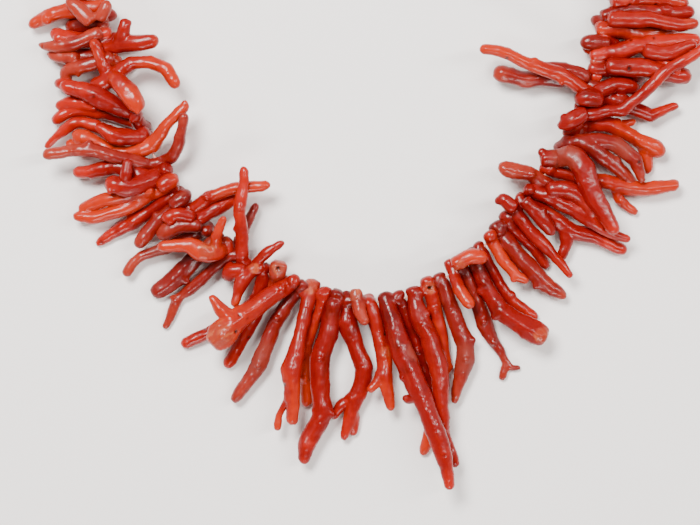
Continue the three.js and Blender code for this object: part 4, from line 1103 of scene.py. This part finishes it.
def lathe(bm: bmesh.types.BMesh, outline: Sequence[tuple[float, float]], segments: int) -> None:
    """Adds a turned solid about X from an outline of distance along X and radius, from end to end.

    Args:
        bm: The mesh that gets it.
        outline: Points whose first and last radius are 0.
        segments: How many faces go round.
    """
    ends = (bm.verts.new((outline[0][0], 0, 0)), bm.verts.new((outline[-1][0], 0, 0)))
    rings = []
    for x, radius in outline[1:-1]:
        turns = (2 * math.pi * k / segments for k in range(segments))
        rings.append([bm.verts.new((x, radius * math.cos(a), radius * math.sin(a))) for a in turns])
    for k in range(segments):
        after = (k + 1) % segments
        bm.faces.new((ends[0], rings[0][after], rings[0][k]))
        bm.faces.new((ends[1], rings[-1][k], rings[-1][after]))
        for low, high in zip(rings, rings[1:]):
            bm.faces.new((low[k], low[after], high[after], high[k]))


def mesh_from(bm: bmesh.types.BMesh, name: str) -> bpy.types.Mesh:
    """Finishes a bmesh, with its faces pointing outwards.

    Args:
        bm: The bmesh, which is freed.
        name: The new mesh's name.

    Returns:
        The mesh.
    """
    bmesh.ops.recalc_face_normals(bm, faces=bm.faces)
    mesh = bpy.data.meshes.new(name)
    bm.to_mesh(mesh)
    bm.free()
    return mesh


def shown(mesh: bpy.types.Mesh, name: str) -> bpy.types.Object:
    """Puts a mesh into the scene.

    Args:
        mesh: The mesh.
        name: The new object's name.

    Returns:
        The object that holds it.
    """
    piece = bpy.data.objects.new(name, mesh)
    bpy.context.scene.collection.objects.link(piece)
    return piece


def smooth_piece(bm: bmesh.types.BMesh, name: str, finish: bpy.types.Material) -> bpy.types.Object:
    """Puts a bmesh into the scene as a smooth piece with its finish on.

    Args:
        bm: The bmesh, which is freed.
        name: The piece's name.
        finish: Its material.

    Returns:
        The piece.
    """
    piece = shown(mesh_from(bm, name), name)
    piece.data.materials.append(finish)
    piece.data.shade_smooth()
    return piece


@dataclass
class Strand:
    """The thread with the clasp at its ends, and where everything on it hangs."""

    origin: Vector = field(init=False)
    route: Route = field(init=False)

    def __post_init__(self) -> None:
        """Finds the routes' origin from the clasp's solids, and walks the thread's route."""
        left_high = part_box("clasp_half_left")[1]
        right_low, right_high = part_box("clasp_half_right")
        middle_y = (right_low.y + right_high.y) / 2
        clasp_middle = Vector(((left_high.x + right_low.x) / 2, middle_y, 0.0))
        self.origin = clasp_middle - CLASP_MIDDLE_MM * MM
        self.route = Route(self.points(THREAD_ROUTE_MM))

    def points(self, route_mm: Iterable[Point]) -> np.ndarray:
        """A route's points in the frame."""
        return np.array([tuple(Vector(point) * MM + self.origin) for point in route_mm])

    def share_at(self, place_mm: Sequence[float]) -> float:
        """The share of the thread's length that lies nearest to a place in the plan."""
        return self.route.share_near(Vector(self.points([(place_mm[0], place_mm[1], 0)])[0]))

    def place_mm(self, share: float) -> Vector:
        """The place in the plan at a share of the thread's length."""
        return (self.route.at(share) - self.origin) / MM

    def add_twigs(self, bm: bmesh.types.BMesh, twigs: Iterable[Twig]) -> None:
        """Adds side twigs to a form.

        Args:
            bm: The form's mesh.
            twigs: Each twig's heights and route in the plan, in millimetres.
        """
        for start, end, route in twigs:
            heights = np.linspace(start, end, len(route)) + [radius for _, _, radius in route]
            points = self.points((x, y, z) for (x, y, _), z in zip(route, heights))
            tube(bm, *swept(points, [radius * MM for _, _, radius in route]), LIMB_SIDES)


@dataclass
class SilkThread:
    """Two plies of silk twisted together, drawn through every branch from one clasp half to the other."""

    strand: Strand
    finish: BeadingSilk
    ply_radius: float = 0.17 * MM
    plies_apart: float = 0.8
    twist: float = 1.9 * MM
    step: float = 0.22 * MM
    sides: int = 6

    def build(self) -> bpy.types.Object:
        """The thread as one piece, on the solid's own line."""
        bm = bmesh.new()
        route = self.strand.route
        runs = np.arange(0.0, route.length, self.step)
        centre = np.stack([np.interp(runs, route.run, route.line[:, axis]) for axis in range(3)], axis=1)
        tangent = np.gradient(centre, axis=0)
        side = np.stack([-tangent[:, 1], tangent[:, 0], np.zeros(len(runs))], axis=1)
        side /= np.linalg.norm(side, axis=1, keepdims=True)
        up = np.array([0.0, 0.0, 1.0])
        for ply in (0.0, math.pi):
            turn = (2 * math.pi * runs / self.twist + ply)[:, None]
            line = centre + (side * np.cos(turn) + up * np.sin(turn)) * self.ply_radius * self.plies_apart
            tube(bm, line, [self.ply_radius] * len(line), self.sides)
        piece = smooth_piece(bm, "silk_thread", self.finish.build())
        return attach(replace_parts(piece, "thread"), ROOT_BODY)


@dataclass
class BarrelClasp:
    """A small turned clasp that screws shut: two domed halves, each with a collar and a ridged grip.

    Places along a half are shares of its length, from the thread's end to the seam. Radii are
    shares of the collar's own radius in the collar, and of the half's from the ridges on.
    """

    finish: PolishedGilt
    segments: int = 40
    fullness: float = 1.04
    collar_radius: float = 0.5
    collar: tuple[tuple[float, float], ...] = (
        (0.0, 0.0), (0.0, 0.8), (0.02, 1.0), (0.12, 1.0), (0.15, 0.82), (0.18, 1.1),
    )
    dome_start: float = 0.2
    dome_length: float = 0.3
    dome_steps: int = 8
    ridges: int = 5
    ridge_start: float = 0.55
    ridge_pitch: float = 0.07
    ridge: tuple[tuple[float, float], ...] = ((0.0, 0.93), (0.02, 0.93), (0.03, 1.0), (0.06, 1.0))
    seam: tuple[tuple[float, float], ...] = (
        (0.94, 0.93), (0.95, 0.99), (0.985, 0.99), (1.0, 0.94), (1.0, 0.0),
    )

    def build(self) -> list[bpy.types.Object]:
        """Both halves, each in place of its solid."""
        material = self.finish.build()
        return [self._half("clasp_half_left", 1, material), self._half("clasp_half_right", -1, material)]

    def _half(self, node: str, direction: int, material: bpy.types.Material) -> bpy.types.Object:
        """Turns one half, from its collar to the seam in the middle.

        Args:
            node: The solid that it replaces.
            direction: 1 where the collar is on the left, and -1 where it is on the right.
            material: Its finish.

        Returns:
            The half.
        """
        low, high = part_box(node)
        centre = (low + high) / 2
        radius = (high.y - low.y) / 2 * self.fullness
        bm = bmesh.new()
        lathe(bm, self._outline(high.x - low.x, radius), self.segments)
        if direction < 0:
            bmesh.ops.scale(bm, vec=(-1, 1, 1), verts=bm.verts)
        start = low.x if direction > 0 else high.x
        bmesh.ops.translate(bm, vec=(start, centre.y, max(centre.z, radius)), verts=bm.verts)
        piece = smooth_piece(bm, node + "_turned", material)
        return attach(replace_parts(piece, node), ROOT_BODY)

    def _outline(self, length: float, radius: float) -> list[tuple[float, float]]:
        """Draws a half's outline, with ridges where fingers grip it.

        Args:
            length: The half's length.
            radius: Its radius at the grip.

        Returns:
            The distance along it and the radius at each point.
        """
        collar = self.collar_radius * radius
        points = [(x * length, share * collar) for x, share in self.collar]
        for i in range(self.dome_steps + 1):
            part = i / self.dome_steps
            x = (self.dome_start + self.dome_length * part) * length
            points.append((x, collar + (radius - collar) * math.sin(part * math.pi / 2)))
        for i in range(self.ridges):
            start = self.ridge_start + self.ridge_pitch * i
            points += [((start + x) * length, share * radius) for x, share in self.ridge]
        return points + [(x * length, share * radius) for x, share in self.seam]


@dataclass
class BranchRow:
    """The branches that have a solid each, grown from those solids."""

    strand: Strand
    skin: CoralSkin
    finishes: dict[Tone, bpy.types.Material]
    merge: float = 0.002 * MM
    nearest_corners: int = 6

    def build(self) -> list[bpy.types.Object]:
        """Every branch of the row, each in place of its solid."""
        tones = {part["node"]: part["material_slot"] for part in frame["record"]["subparts"]}
        names = [name for name in sorted(frame["nodes"]) if name.startswith("branch_")]
        return [self._branch(name, Tone(tones[name]), seed) for seed, name in enumerate(names, 1)]

    def _branch(self, node: str, tone: Tone, seed: int) -> bpy.types.Object:
        """Grows one branch over a merged copy of its solid.

        Args:
            node: The solid that it replaces.
            tone: Its tone of coral.
            seed: Which lumps, buds and pits it gets.

        Returns:
            The branch.
        """
        form = frame["nodes"][node].data.copy()
        form.materials.clear()
        root = self._root(form)
        bm = bmesh.new()
        bm.from_mesh(form)
        bmesh.ops.remove_doubles(bm, verts=bm.verts, dist=self.merge)
        self.strand.add_twigs(bm, SIDE_TWIGS_MM.get(node, ()))
        bm.to_mesh(form)
        bm.free()
        finish, origin = self.finishes[tone], self.strand.origin
        piece = self.skin.grow(form, node + "_coral", root, finish, seed, CHARACTERS[node], origin)
        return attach(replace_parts(piece, node), ROOT_BODY)

    def _root(self, form: bpy.types.Mesh) -> Vector:
        """Finds where the thread goes through a form.

        Args:
            form: The solid's mesh, whose drilled hole has corners all round the thread.

        Returns:
            The point of the thread's route that is nearest to a few of the form's corners.
        """
        tree = KDTree(len(form.vertices))
        for vertex in form.vertices:
            tree.insert(vertex.co, vertex.index)
        tree.balance()
        places = [Vector(point) for point in self.strand.route.line]
        near = self.nearest_corners
        return min(places, key=lambda place: sum(found[2] for found in tree.find_n(place, near)))


@dataclass(frozen=True)
class Swing:
    """A wave that varies a size from one branch to the next: how much, and how quickly."""

    amount: float
    beat: float

    def at(self, index: int) -> float:
        """The change for the branch with this index."""
        return self.amount * math.sin(self.beat * index)


@dataclass(frozen=True)
class Side:
    """One side of the upper strand, from the row's end to the clasp.

    It has the number of solids that its branches stand in place of, the branches whose place is
    known, the root of the row's last branch, and the seed of its first run.
    """

    name: str
    runs: int
    known: tuple[tuple[Limb, ...], ...]
    row_end_mm: tuple[float, float]
    seed: int


@dataclass
class UpperStrand:
    """The shorter branches from the row's ends up to the clasp, strung one by one.

    They lean now to one side and now to the other, with every fourth one inside the loop, and
    shorten towards the clasp. A nub, a short stout branch too small for the solids, fills the
    gap before each. Each run of them stands in place of one solid.
    """

    strand: Strand
    skin: CoralSkin
    finishes: dict[Tone, bpy.types.Material]
    left: Side = Side("left", 3, LEFT_SPRIGS_MM, (-66, 57), 400)
    right: Side = Side("right", 2, RIGHT_SPRIGS_MM, (53.2, 54.8), 500)
    seed_step: int = 20
    row_pitch_mm: float = 3.5
    pitch_mm: float = 4.7
    clasp_clearance_mm: float = 7.0
    short_mm: float = 10.0
    long_mm: float = 36.0
    length_swing: Swing = Swing(0.22, 2.3)
    lean: Swing = Swing(0.22, 1.9)
    bow: float = 0.05
    inside_every: int = 4
    inside_index: int = 2
    inside_share: float = 0.7
    root_radius_mm: float = 1.25
    middle_radius_mm: float = 1.45
    tip_radius_mm: float = 1.05
    radius_swing_mm: Swing = Swing(0.15, 3.1)
    tip_heights_mm: tuple[float, ...] = (0, 4, 0, 6, 2)
    # A resting tip's underside is this share of its radius below its middle, as the solids' is.
    rest_share: float = math.cos(math.pi / 4)
    rest_sunk_mm: float = 0.12
    past_thread_mm: float = 1.7
    fatter: float = 1.12
    tint: float = 0.2
    tint_swing: Swing = Swing(0.5, 3.3)
    shortest_forked_mm: float = 9.0
    fork_degrees: float = 32.0
    fork_degrees_swing: Swing = Swing(14.0, 2.7)
    fork_reach: float = 0.6
    fork_reach_swing: Swing = Swing(0.25, 1.3)
    fork_radius_mm: float = 1.3
    fork_thinning_mm: float = 0.3
    fork_rise_mm: float = 1.5
    nub_mm: float = 5.0
    nub_swing: Swing = Swing(0.3, 2.9)
    nub_lean: Swing = Swing(0.3, 1.7)
    nub_heights_mm: tuple[float, ...] = (0.0, 1.5, 3.0)
    # The radius in millimetres at each share of a nub's length.
    nub_radii: tuple[tuple[float, float], ...] = ((0, 1.0), (0.5, 1.15), (1, 0.9))

    def build(self) -> list[bpy.types.Object]:
        """Every run of the upper strand, each a piece in place of its solid."""
        pieces = []
        step = self.row_pitch_mm * MM / self.strand.route.length
        clasp = self.clasp_clearance_mm * MM / self.strand.route.length
        for side, direction, end in ((self.left, -1, clasp), (self.right, 1, 1 - clasp)):
            row_end = self.strand.share_at(side.row_end_mm)
            sprigs = self._sprigs(row_end + direction * step, end, side.known)
            pieces += self._runs(sprigs, side, row_end)
        return pieces

    def _sprigs(self, start: float, end: float, known: Sequence[Sequence[Limb]]) -> list[list[Limb]]:
        """Lays out the branches of one side.

        Args:
            start: The first one's share of the thread's length.
            end: The last one's.
            known: The limbs of the first ones, whose place is known.

        Returns:
            The limbs of each branch.
        """
        count = math.floor(abs(end - start) * self.strand.route.length / (self.pitch_mm * MM)) + 1
        shares = [start + (end - start) * i / (count - 1) for i in range(count)]
        return [list(known[i]) if i < len(known) else self._ruled(i, share) for i, share in enumerate(shares)]

    def _ruled(self, index: int, share: float) -> list[Limb]:
        """Gives a branch its form by rule.

        Args:
            index: Which one of its side it is.
            share: Its share of the thread's length.

        Returns:
            Its one limb.
        """
        root = self.strand.place_mm(share)
        along = self.strand.route.along(share)
        inside = index % self.inside_every == self.inside_index
        outward = Vector((along.y, -along.x, 0)).normalized() * (-self.inside_share if inside else 1.0)
        side = Vector((-outward.y, outward.x, 0))
        toward_front = 1 - 2 * abs(share - 0.5)
        plain_length = self.short_mm + (self.long_mm - self.short_mm) * toward_front
        length = plain_length * (1 + self.length_swing.at(index))
        lean = self.lean.at(index)
        middle = root + outward * length / 2 + side * (lean / 2 + self.bow) * length
        tip = root + outward * length + side * lean * length
        radii = (
            self.root_radius_mm,
            self.middle_radius_mm + self.radius_swing_mm.at(index),
            self.tip_radius_mm,
        )
        route = tuple((p.x, p.y, radius) for p, radius in zip((root, middle, tip), radii))
        return [(self.tip_heights_mm[index % len(self.tip_heights_mm)], route)]

    def _runs(self, sprigs: list[list[Limb]], side: Side, row_end: float) -> list[bpy.types.Object]:
        """Shares the branches out among the runs of one side, in order from the row.

        Args:
            sprigs: The limbs of each branch.
            side: The side that they are on.
            row_end: The share of the thread's length at which the row's last branch hangs.

        Returns:
            The runs.
        """
        size = math.ceil(len(sprigs) / side.runs)
        shares = [row_end] + [self.strand.share_at(limbs[0][1][0]) for limbs in sprigs]
        pieces = []
        for i in range(side.runs):
            first, last = i * size, min((i + 1) * size, len(sprigs))
            nubs = [self._nub(k, (shares[k] + shares[k + 1]) / 2) for k in range(first, last)]
            name = f"upper_branches_{side.name}_{i + 1}"
            pieces.append(self._run(sprigs[first:last], nubs, name, side.seed + self.seed_step * i))
        return pieces

    def _nub(self, index: int, share: float) -> Limb:
        """Gives a nub its form by rule.

        Args:
            index: Which one of its side it is.
            share: Its share of the thread's length.

        Returns:
            Its limb.
        """
        root = self.strand.place_mm(share)
        along = self.strand.route.along(share)
        outward = Vector((along.y, -along.x, 0)).normalized() * (1 if index % 2 else -1)
        length = self.nub_mm * (1 + self.nub_swing.at(index))
        lean = along * self.nub_lean.amount * math.sin(self.nub_lean.beat * index)
        reach = (outward + lean) * length
        route = tuple((root.x + reach.x * k, root.y + reach.y * k, radius) for k, radius in self.nub_radii)
        return (self.nub_heights_mm[index % len(self.nub_heights_mm)], route)

    def _run(self, sprigs: list[list[Limb]], nubs: list[Limb], node: str, seed: int) -> bpy.types.Object:
        """Grows one run's branches and nubs one by one, and joins them as one piece.

        Args:
            sprigs: The limbs of each branch.
            nubs: The nubs between them.
            node: The solid that the run replaces.
            seed: The first branch's seed.

        Returns:
            The run.
        """
        tones = list(Tone)
        grown = []
        for i, limbs in enumerate([*sprigs, *([nub] for nub in nubs)]):
            bm = bmesh.new()
            root = Vector(self._line(limbs[0])[0][1])
            for k, limb in enumerate(limbs):
                line, radii = self._swept(limb, k == 0)
                tube(bm, line, radii, LIMB_SIDES)
            route = limbs[0][1]
            if len(limbs) == 1 and math.dist(route[0][:2], route[-1][:2]) > self.shortest_forked_mm:
                self.strand.add_twigs(bm, [self._fork(limbs[0], i)])
            if i == 0:
                self.strand.add_twigs(bm, SIDE_TWIGS_MM.get(node, ()))
            form = mesh_from(bm, f"{node}_form_{i}")
            finish = self.finishes[tones[(2 * i + seed // self.seed_step) % len(tones)]]
            character = Character(self.tint + self.tint_swing.at(seed + i))
            origin = self.strand.origin
            grown.append(self.skin.grow(form, f"{node}_{i}", root, finish, seed + i, character, origin))
        with bpy.context.temp_override(active_object=grown[0], selected_editable_objects=grown):
            bpy.ops.object.join()
        piece = grown[0]
        piece.name = node + "_coral"
        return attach(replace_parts(piece, node), ROOT_BODY)

    def _line(self, limb: Limb) -> tuple[np.ndarray, list[float]]:
        """Puts a limb's route into the frame.

        Its first point is at the thread's height, and the rest level off towards the tip's.

        Args:
            limb: The tip's height, and the route in the plan.

        Returns:
            The route's points, and the radius at each.
        """
        tip_height, route = limb
        root_height = self.strand.route.at(self.strand.share_at(route[0])).z / MM
        end_height = tip_height + route[-1][2] * self.rest_share - self.rest_sunk_mm
        heights = []
        for i in range(len(route)):
            share = i / (len(route) - 1)
            heights.append(root_height + (end_height - root_height) * share * (2 - share))
        points = self.strand.points((x, y, z) for (x, y, _), z in zip(route, heights))
        return points, [radius * MM for _, _, radius in route]

    def _swept(self, limb: Limb, from_thread: bool) -> tuple[np.ndarray, list[float]]:
        """Sweeps a limb, a little fatter than its solid.

        Args:
            limb: The tip's height, and the route in the plan.
            from_thread: Whether it starts behind the thread, and not on another limb.

        Returns:
            The fine line's points, and the radius at each.
        """
        points, radii = self._line(limb)
        if from_thread:
            back = points[0] - points[1]
            back[2] = 0.0
            behind = points[0] + back / np.linalg.norm(back) * self.past_thread_mm * MM
            points = np.vstack([behind, points])
            radii = [radii[0], *radii]
        return swept(points, [radius * self.fatter for radius in radii])

    def _fork(self, limb: Limb, index: int) -> Twig:
        """Draws a side fork from the middle of a limb, now to one side and now to the other.

        Args:
            limb: The limb that it grows on.
            index: Which one of its run the limb is.

        Returns:
            The fork's heights and route.
        """
        tip_height, route = limb
        middle, end = Vector(route[len(route) // 2]), Vector(route[-1])
        away = (end - middle).to_2d()
        degrees = self.fork_degrees + self.fork_degrees_swing.at(index)
        away.rotate(Matrix.Rotation(math.radians(degrees) * (-1 if index % 2 else 1), 2))
        reach = self.fork_reach + self.fork_reach_swing.at(index)
        fork = tuple(
            (middle.x + away.x * k, middle.y + away.y * k, self.fork_radius_mm - self.fork_thinning_mm * k)
            for k in (0, 0.5 * reach, reach)
        )
        points, _ = self._line(limb)
        start_height = points[len(route) // 2][2] / MM - middle.z
        return (max(start_height, 0.0), tip_height + self.fork_rise_mm, fork)


@dataclass(frozen=True)
class SoftLight:
    """A rectangular light: its place from the picture's middle, its size and its power in watts."""

    name: str
    place: tuple[float, float, float]
    size: tuple[float, float]
    power: float


@dataclass
class Setting:
    """The pale table, the soft light over it and the camera that looks straight down.

    The lights are a large soft key, a long strip for crisp highlights and a low fill from the
    front. The surround is brighter near the horizon than overhead, so the coral keeps its depth.
    Its low and high ends are each a height, up to 1 overhead, and the strength there.
    """

    frame_width_mm: float = 175.0
    view_centre_mm: tuple[float, float] = (-7.5, 9.9)
    camera_height: float = 0.52
    focus_height: float = 0.006
    nearest_view: float = 0.01
    sensor_mm: float = 36.0
    table_half: float = 2.0
    table_colour: str = "#f4eeea"
    table_roughness: float = 0.75
    lights: tuple[SoftLight, ...] = (
        SoftLight("key_softbox", (-0.2, 0.3, 0.6), (0.3, 0.2), 10.5),
        SoftLight("strip_light", (0.35, 0.1, 0.5), (0.03, 0.5), 3.0),
        SoftLight("front_fill", (0.05, -0.6, 0.4), (0.4, 0.08), 3.0),
    )
    surround_colour: str = "#fbf6f2"
    surround_low: tuple[float, float] = (0.15, 0.85)
    surround_high: tuple[float, float] = (0.85, 0.12)

    def build(self, strand: Strand) -> None:
        """Makes the table, the lights and the camera round the picture's middle.

        Args:
            strand: The strand whose origin the picture's middle is measured from.
        """
        centre = strand.origin + Vector((*self.view_centre_mm, 0.0)) * MM
        self._table()
        for light in self.lights:
            self._area(light, centre)
        self._surround()
        self._camera(centre)

    def _table(self) -> None:
        """A wide pale surface under the necklace."""
        bm = bmesh.new()
        bmesh.ops.create_grid(bm, x_segments=1, y_segments=1, size=self.table_half)
        table = shown(mesh_from(bm, "table"), "table")
        material = bpy.data.materials.new("matt_white_card")
        material.use_nodes = True
        shader = material.node_tree.nodes["Principled BSDF"]
        shader.inputs["Base Color"].default_value = linear(self.table_colour)
        shader.inputs["Roughness"].default_value = self.table_roughness
        table.data.materials.append(material)

    def _surround(self) -> None:
        """A pale surround whose strength falls from one height of the sky to another."""
        world = bpy.data.worlds.new("pale_surround")
        world.use_nodes = True
        tree = world.node_tree
        background = tree.nodes["Background"]
        background.inputs["Color"].default_value = linear(self.surround_colour)
        direction = add_node(tree, "ShaderNodeTexCoord").outputs["Generated"]
        height = add_node(tree, "ShaderNodeSeparateXYZ", {"Vector": direction}).outputs["Z"]
        (low, bright), (high, dim) = self.surround_low, self.surround_high
        inputs = {"Value": height, "From Min": low, "From Max": high, "To Min": bright, "To Max": dim}
        strength = add_node(tree, "ShaderNodeMapRange", inputs).outputs["Result"]
        tree.links.new(strength, background.inputs["Strength"])
        bpy.context.scene.world = world

    def _area(self, light: SoftLight, centre: Vector) -> None:
        """Hangs one light and aims it.

        Args:
            light: The light.
            centre: The point that it is placed from and aimed at.
        """
        lamp = bpy.data.lights.new(light.name, "AREA")
        lamp.shape = "RECTANGLE"
        lamp.size, lamp.size_y = light.size
        lamp.energy = light.power
        holder = bpy.data.objects.new(light.name, lamp)
        holder.location = centre + Vector(light.place)
        holder.rotation_euler = (centre - holder.location).to_track_quat("-Z", "Y").to_euler()
        bpy.context.scene.collection.objects.link(holder)

    def _camera(self, centre: Vector) -> None:
        """Sets up the camera straight above the picture's middle, as wide as the picture is.

        Args:
            centre: The picture's middle.
        """
        camera = bpy.data.cameras.new("camera")
        camera.sensor_width = self.sensor_mm
        camera.lens = self.sensor_mm * (self.camera_height - self.focus_height) / (self.frame_width_mm * MM)
        camera.clip_start = self.nearest_view
        holder = bpy.data.objects.new("camera", camera)
        holder.location = (centre.x, centre.y, self.camera_height)
        bpy.context.scene.collection.objects.link(holder)
        bpy.context.scene.camera = holder


def main() -> None:
    """Builds the necklace piece by piece and then its setting."""
    logging.basicConfig(level=logging.INFO, format="%(message)s")
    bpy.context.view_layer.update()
    strand = Strand()
    finishes = {tone: finish.build() for tone, finish in CORAL_TONES.items()}
    skin = CoralSkin()
    for pieces in (
        BranchRow(strand, skin, finishes).build(),
        UpperStrand(strand, skin, finishes).build(),
        [SilkThread(strand, BeadingSilk()).build()],
        BarrelClasp(PolishedGilt()).build(),
    ):
        for piece in pieces:
            log.info("%s: %d faces", piece.name, len(piece.data.polygons))
    Setting().build(strand)


if __name__ == "__main__":
    main()
